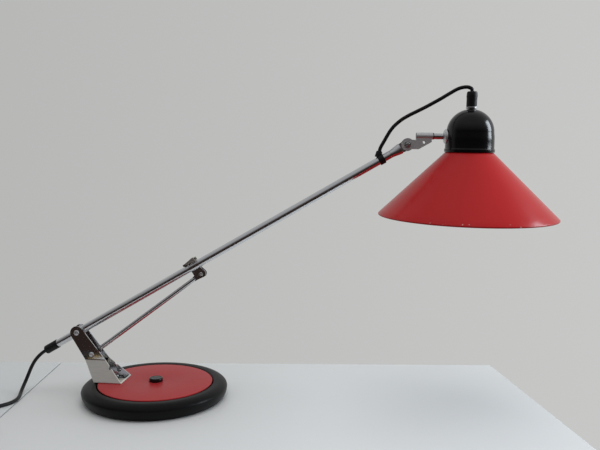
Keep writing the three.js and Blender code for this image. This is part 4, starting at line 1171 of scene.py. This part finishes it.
def make_holder():
    high = -22.6
    flange = high + 0.3
    holder = turned("socket_shell", [
        (5.3, 24), (11, 24), (18.6, 20), (18.6, flange + 2.4), (24, flange + 2.4), (24, flange),
        (18.6, flange), *[(18.6 if i % 2 else 18.0, flange - 0.8 - i * 0.5) for i in range(6)],
        (18.6, -27), (14, -27), (14, 14), (5.3, 14)], HEAD_FRAME, 96, True, 0.4)
    shown(holder, "head", "bakelite", "lamp_holder")
    ring = turned("socket_ring", [(18.9, high - 3.8), (24, high - 3.8), (24, high - 1.2), (18.9, high - 1.2)],
                  HEAD_FRAME, 96, True, 0.5)
    shown(ring, "head", "bakelite", "holder_ring")
    dressed("contact_ceramic", "contact_block")
    thread = [(13.2 - (0.7 if i % 2 else 0), -17 + i * 1.8) for i in range(11)]
    cap = turned("bulb_screw", [*thread, (13.0, 3), (5, 7), (2, 7), (2, 6), (4.6, 6), (12.0, 2), (12.0, -17)],
                 HEAD_FRAME, 96, True, 0.5)
    shown(cap, "head", "bulb_metal", "bulb_cap")
    top = -17.3
    centre = top - 80 + 30

    def globe(radius):
        return [(max(r, 0), z) for r, z in arc(0, centre, radius, 28, -90, 40)]

    glass = turned("bulb_globe", [
        (13.0, top), (13.2, top - 5), (13.8, top - 11), (16, top - 18), (19.8, top - 24.5), *globe(30),
        *reversed(globe(29)), (18.8, top - 24.5), (15, top - 18), (12.8, top - 11), (12.2, top - 5),
        (12.0, top)],
        HEAD_FRAME, 128, True, 0.5)
    shown(glass, "head", "bulb_glass", "bulb_glass")


# ---- switch and plug ----------------------------------------------------------------------------
def make_switch():
    dressed("switch_black", "switch_base", "switch_cover", width=0.6)
    dressed("rocker_black", "switch_rocker", width=0.4)
    dressed("plated_steel", "rocker_axle", width=0.1)


def make_plug():
    dressed("plug_black", "plug_body", width=0.9)
    dressed("pin_brass", "plug_pin_left", "plug_pin_right", width=0.3)


# ---- camera, light and table --------------------------------------------------------------------
CAMERA_PLACE = (0.282046, -0.897767, 0.329910)
CAMERA_TURN = 3.99
CAMERA_DOWN = 3.685
CAMERA_ROLL = 1.157
LAID_FLAT = Matrix.Rotation(-math.pi / 2, 4, "X")


def make_camera():
    data = bpy.data.cameras.new("camera")
    data.lens = 36
    data.sensor_width = 36
    data.clip_start = 0.01
    camera = bpy.data.objects.new("camera", data)
    bpy.context.collection.objects.link(camera)
    turn = Matrix.Rotation(math.radians(CAMERA_TURN), 4, "Z")
    tilt = Matrix.Rotation(math.radians(90 - CAMERA_DOWN), 4, "X")
    roll = Matrix.Rotation(math.radians(CAMERA_ROLL), 4, "Z")
    camera.matrix_world = Matrix.Translation(CAMERA_PLACE) @ turn @ tilt @ roll
    bpy.context.scene.camera = camera


def soft_light(name, place, target, wide, tall, power, tint=(1, 1, 1)):
    data = bpy.data.lights.new(name, "AREA")
    data.shape = "RECTANGLE"
    data.size = wide
    data.size_y = tall
    data.energy = power
    data.color = tint
    light = bpy.data.objects.new(name, data)
    bpy.context.collection.objects.link(light)
    way = Vector(target) - Vector(place)
    light.matrix_world = Matrix.Translation(place) @ way.to_track_quat("-Z", "Y").to_matrix().to_4x4()
    return light


def make_world():
    """An even pale room: light wall ahead, dimmer room behind the camera."""
    world = bpy.data.worlds.new("room")
    bpy.context.scene.world = world
    g = Graph(world)
    coordinates = g.node("ShaderNodeTexCoord")
    parts = g.node("ShaderNodeSeparateXYZ", Vector=coordinates.outputs["Generated"])
    ahead = Value(g, parts.outputs["Y"]).above(0.05, 0.5)
    high = Value(g, parts.outputs["Z"]).above(0.35, 0.6)
    across = Value(g, parts.outputs["X"]).above(-0.05, 0.9)
    room = g.mix(high, (0.030, 0.020, 0.017), (0.42, 0.42, 0.43))
    wall = tuple(colours().wall)
    tone = g.mix(ahead, room, g.mix(across, scaled(wall, 0.90), scaled(wall, 1.08)))
    back = g.node("ShaderNodeBackground", Color=tone, Strength=1.0)
    g.node("ShaderNodeOutputWorld", Surface=back.outputs[0])


def make_table():
    """A shallow table, with a side board at the same height for the cord."""
    table = slab("table", [(-223, 150), (568, 241), (628, -214), (-172, -214)], 0, 24, LAID_FLAT)
    board = slab("side_board", [(-1000, 60), (-225, 150), (-174, -214), (-1000, -214)], 0, 24, LAID_FLAT)
    for piece, name, shade in ((table, "table_top", colours().table), (board, "board_top", colours().board)):
        eased(piece, 1.5, 3)
        smooth(piece)
        piece.data.materials.append(table_top(name, tuple(shade)))


def make_stage():
    make_world()
    make_table()
    lights = [
        soft_light("window", (1.95, 0.10, 0.95), (0.2, 0, 0.2), 0.6, 0.9, 21, (0.84, 0.92, 1.0)),
        soft_light("ceiling", (0.3, -0.2, 2.0), (0.1, 0, 0), 1.8, 1.4, 15, (1.0, 0.99, 0.97)),
        soft_light("front", (0.9, -1.8, 0.9), (0.2, 0, 0.2), 1.0, 1.0, 4, (1.0, 0.98, 0.95)),
    ]
    for light in lights[1:]:
        light.visible_glossy = False
    bpy.context.scene.view_settings.view_transform = "Standard"


# ---- operators, one for each piece or group of like pieces --------------------------------------
class LAMP_OT_camera(bpy.types.Operator):
    """Place the camera"""
    bl_idname = "lamp.camera"
    bl_label = "Camera"

    def execute(self, context):
        make_camera()
        return {"FINISHED"}


class LAMP_OT_cords(bpy.types.Operator):
    """Lay the mains cord and the flex to the head"""
    bl_idname = "lamp.cords"
    bl_label = "Cords"

    def execute(self, context):
        mains, line = make_mains()
        declare_mains(line, coil_tie())
        make_flex()
        return {"FINISHED"}


class LAMP_OT_base(bpy.types.Operator):
    """Build the weighted base"""
    bl_idname = "lamp.base"
    bl_label = "Base"

    def execute(self, context):
        make_base()
        return {"FINISHED"}


class LAMP_OT_disc(bpy.types.Operator):
    """Build the turntable disc"""
    bl_idname = "lamp.disc"
    bl_label = "Turntable disc"

    def execute(self, context):
        make_disc()
        return {"FINISHED"}


class LAMP_OT_bracket(bpy.types.Operator):
    """Build the bent bracket with its screws and pins"""
    bl_idname = "lamp.bracket"
    bl_label = "Bracket"

    def execute(self, context):
        make_bracket()
        return {"FINISHED"}


class LAMP_OT_arm(bpy.types.Operator):
    """Build the arm tube with its caps and knuckle end"""
    bl_idname = "lamp.arm"
    bl_label = "Arm"

    def execute(self, context):
        make_arm()
        return {"FINISHED"}


class LAMP_OT_clutch(bpy.types.Operator):
    """Build the sliding clutch and its thumb lever"""
    bl_idname = "lamp.clutch"
    bl_label = "Clutch"

    def execute(self, context):
        make_clutch()
        return {"FINISHED"}


class LAMP_OT_strut(bpy.types.Operator):
    """Build the strut"""
    bl_idname = "lamp.strut"
    bl_label = "Strut"

    def execute(self, context):
        make_strut()
        return {"FINISHED"}


class LAMP_OT_link(bpy.types.Operator):
    """Build the knuckle link and its washers"""
    bl_idname = "lamp.link"
    bl_label = "Link"

    def execute(self, context):
        make_link()
        return {"FINISHED"}


class LAMP_OT_rod(bpy.types.Operator):
    """Build the rolling rod and the saddle washer"""
    bl_idname = "lamp.rod"
    bl_label = "Head rod"

    def execute(self, context):
        make_rod()
        return {"FINISHED"}


class LAMP_OT_dome(bpy.types.Operator):
    """Build the dome with its ring and strain relief"""
    bl_idname = "lamp.dome"
    bl_label = "Dome"

    def execute(self, context):
        make_dome()
        return {"FINISHED"}


class LAMP_OT_shade(bpy.types.Operator):
    """Build the cone shade, the lamp holder and the bulb"""
    bl_idname = "lamp.shade"
    bl_label = "Shade"

    def execute(self, context):
        make_shade()
        return {"FINISHED"}


class LAMP_OT_switch(bpy.types.Operator):
    """Finish the cord switch"""
    bl_idname = "lamp.switch"
    bl_label = "Cord switch"

    def execute(self, context):
        make_switch()
        return {"FINISHED"}


class LAMP_OT_plug(bpy.types.Operator):
    """Finish the plug"""
    bl_idname = "lamp.plug"
    bl_label = "Plug"

    def execute(self, context):
        make_plug()
        return {"FINISHED"}


class LAMP_OT_stage(bpy.types.Operator):
    """Set out the table, the room and the lights"""
    bl_idname = "lamp.stage"
    bl_label = "Stage"

    def execute(self, context):
        make_stage()
        return {"FINISHED"}


OPERATORS = (
    LAMP_OT_camera, LAMP_OT_cords, LAMP_OT_base, LAMP_OT_disc, LAMP_OT_bracket, LAMP_OT_arm, LAMP_OT_clutch,
    LAMP_OT_strut, LAMP_OT_link, LAMP_OT_rod, LAMP_OT_dome, LAMP_OT_shade, LAMP_OT_switch,
    LAMP_OT_plug, LAMP_OT_stage,
)


class LAMP_PT_panel(bpy.types.Panel):
    """Lists the lamp's pieces"""
    bl_idname = "LAMP_PT_panel"
    bl_label = "Desk Lamp"
    bl_space_type = "VIEW_3D"
    bl_region_type = "UI"
    bl_category = "Desk Lamp"

    def draw(self, context):
        for operator in OPERATORS:
            self.layout.operator(operator.bl_idname)


CLASSES = (LampSizes, LampColours, *OPERATORS, LAMP_PT_panel)


def register():
    for item in CLASSES:
        bpy.utils.register_class(item)
    bpy.types.Scene.lamp_sizes = bpy.props.PointerProperty(type=LampSizes)
    bpy.types.Scene.lamp_colours = bpy.props.PointerProperty(type=LampColours)


def unregister():
    del bpy.types.Scene.lamp_colours
    del bpy.types.Scene.lamp_sizes
    for item in reversed(CLASSES):
        bpy.utils.unregister_class(item)


def main():
    register()
    for operator in OPERATORS:
        group, name = operator.bl_idname.split(".")
        getattr(getattr(bpy.ops, group), name)()


if __name__ == "__main__":
    main()
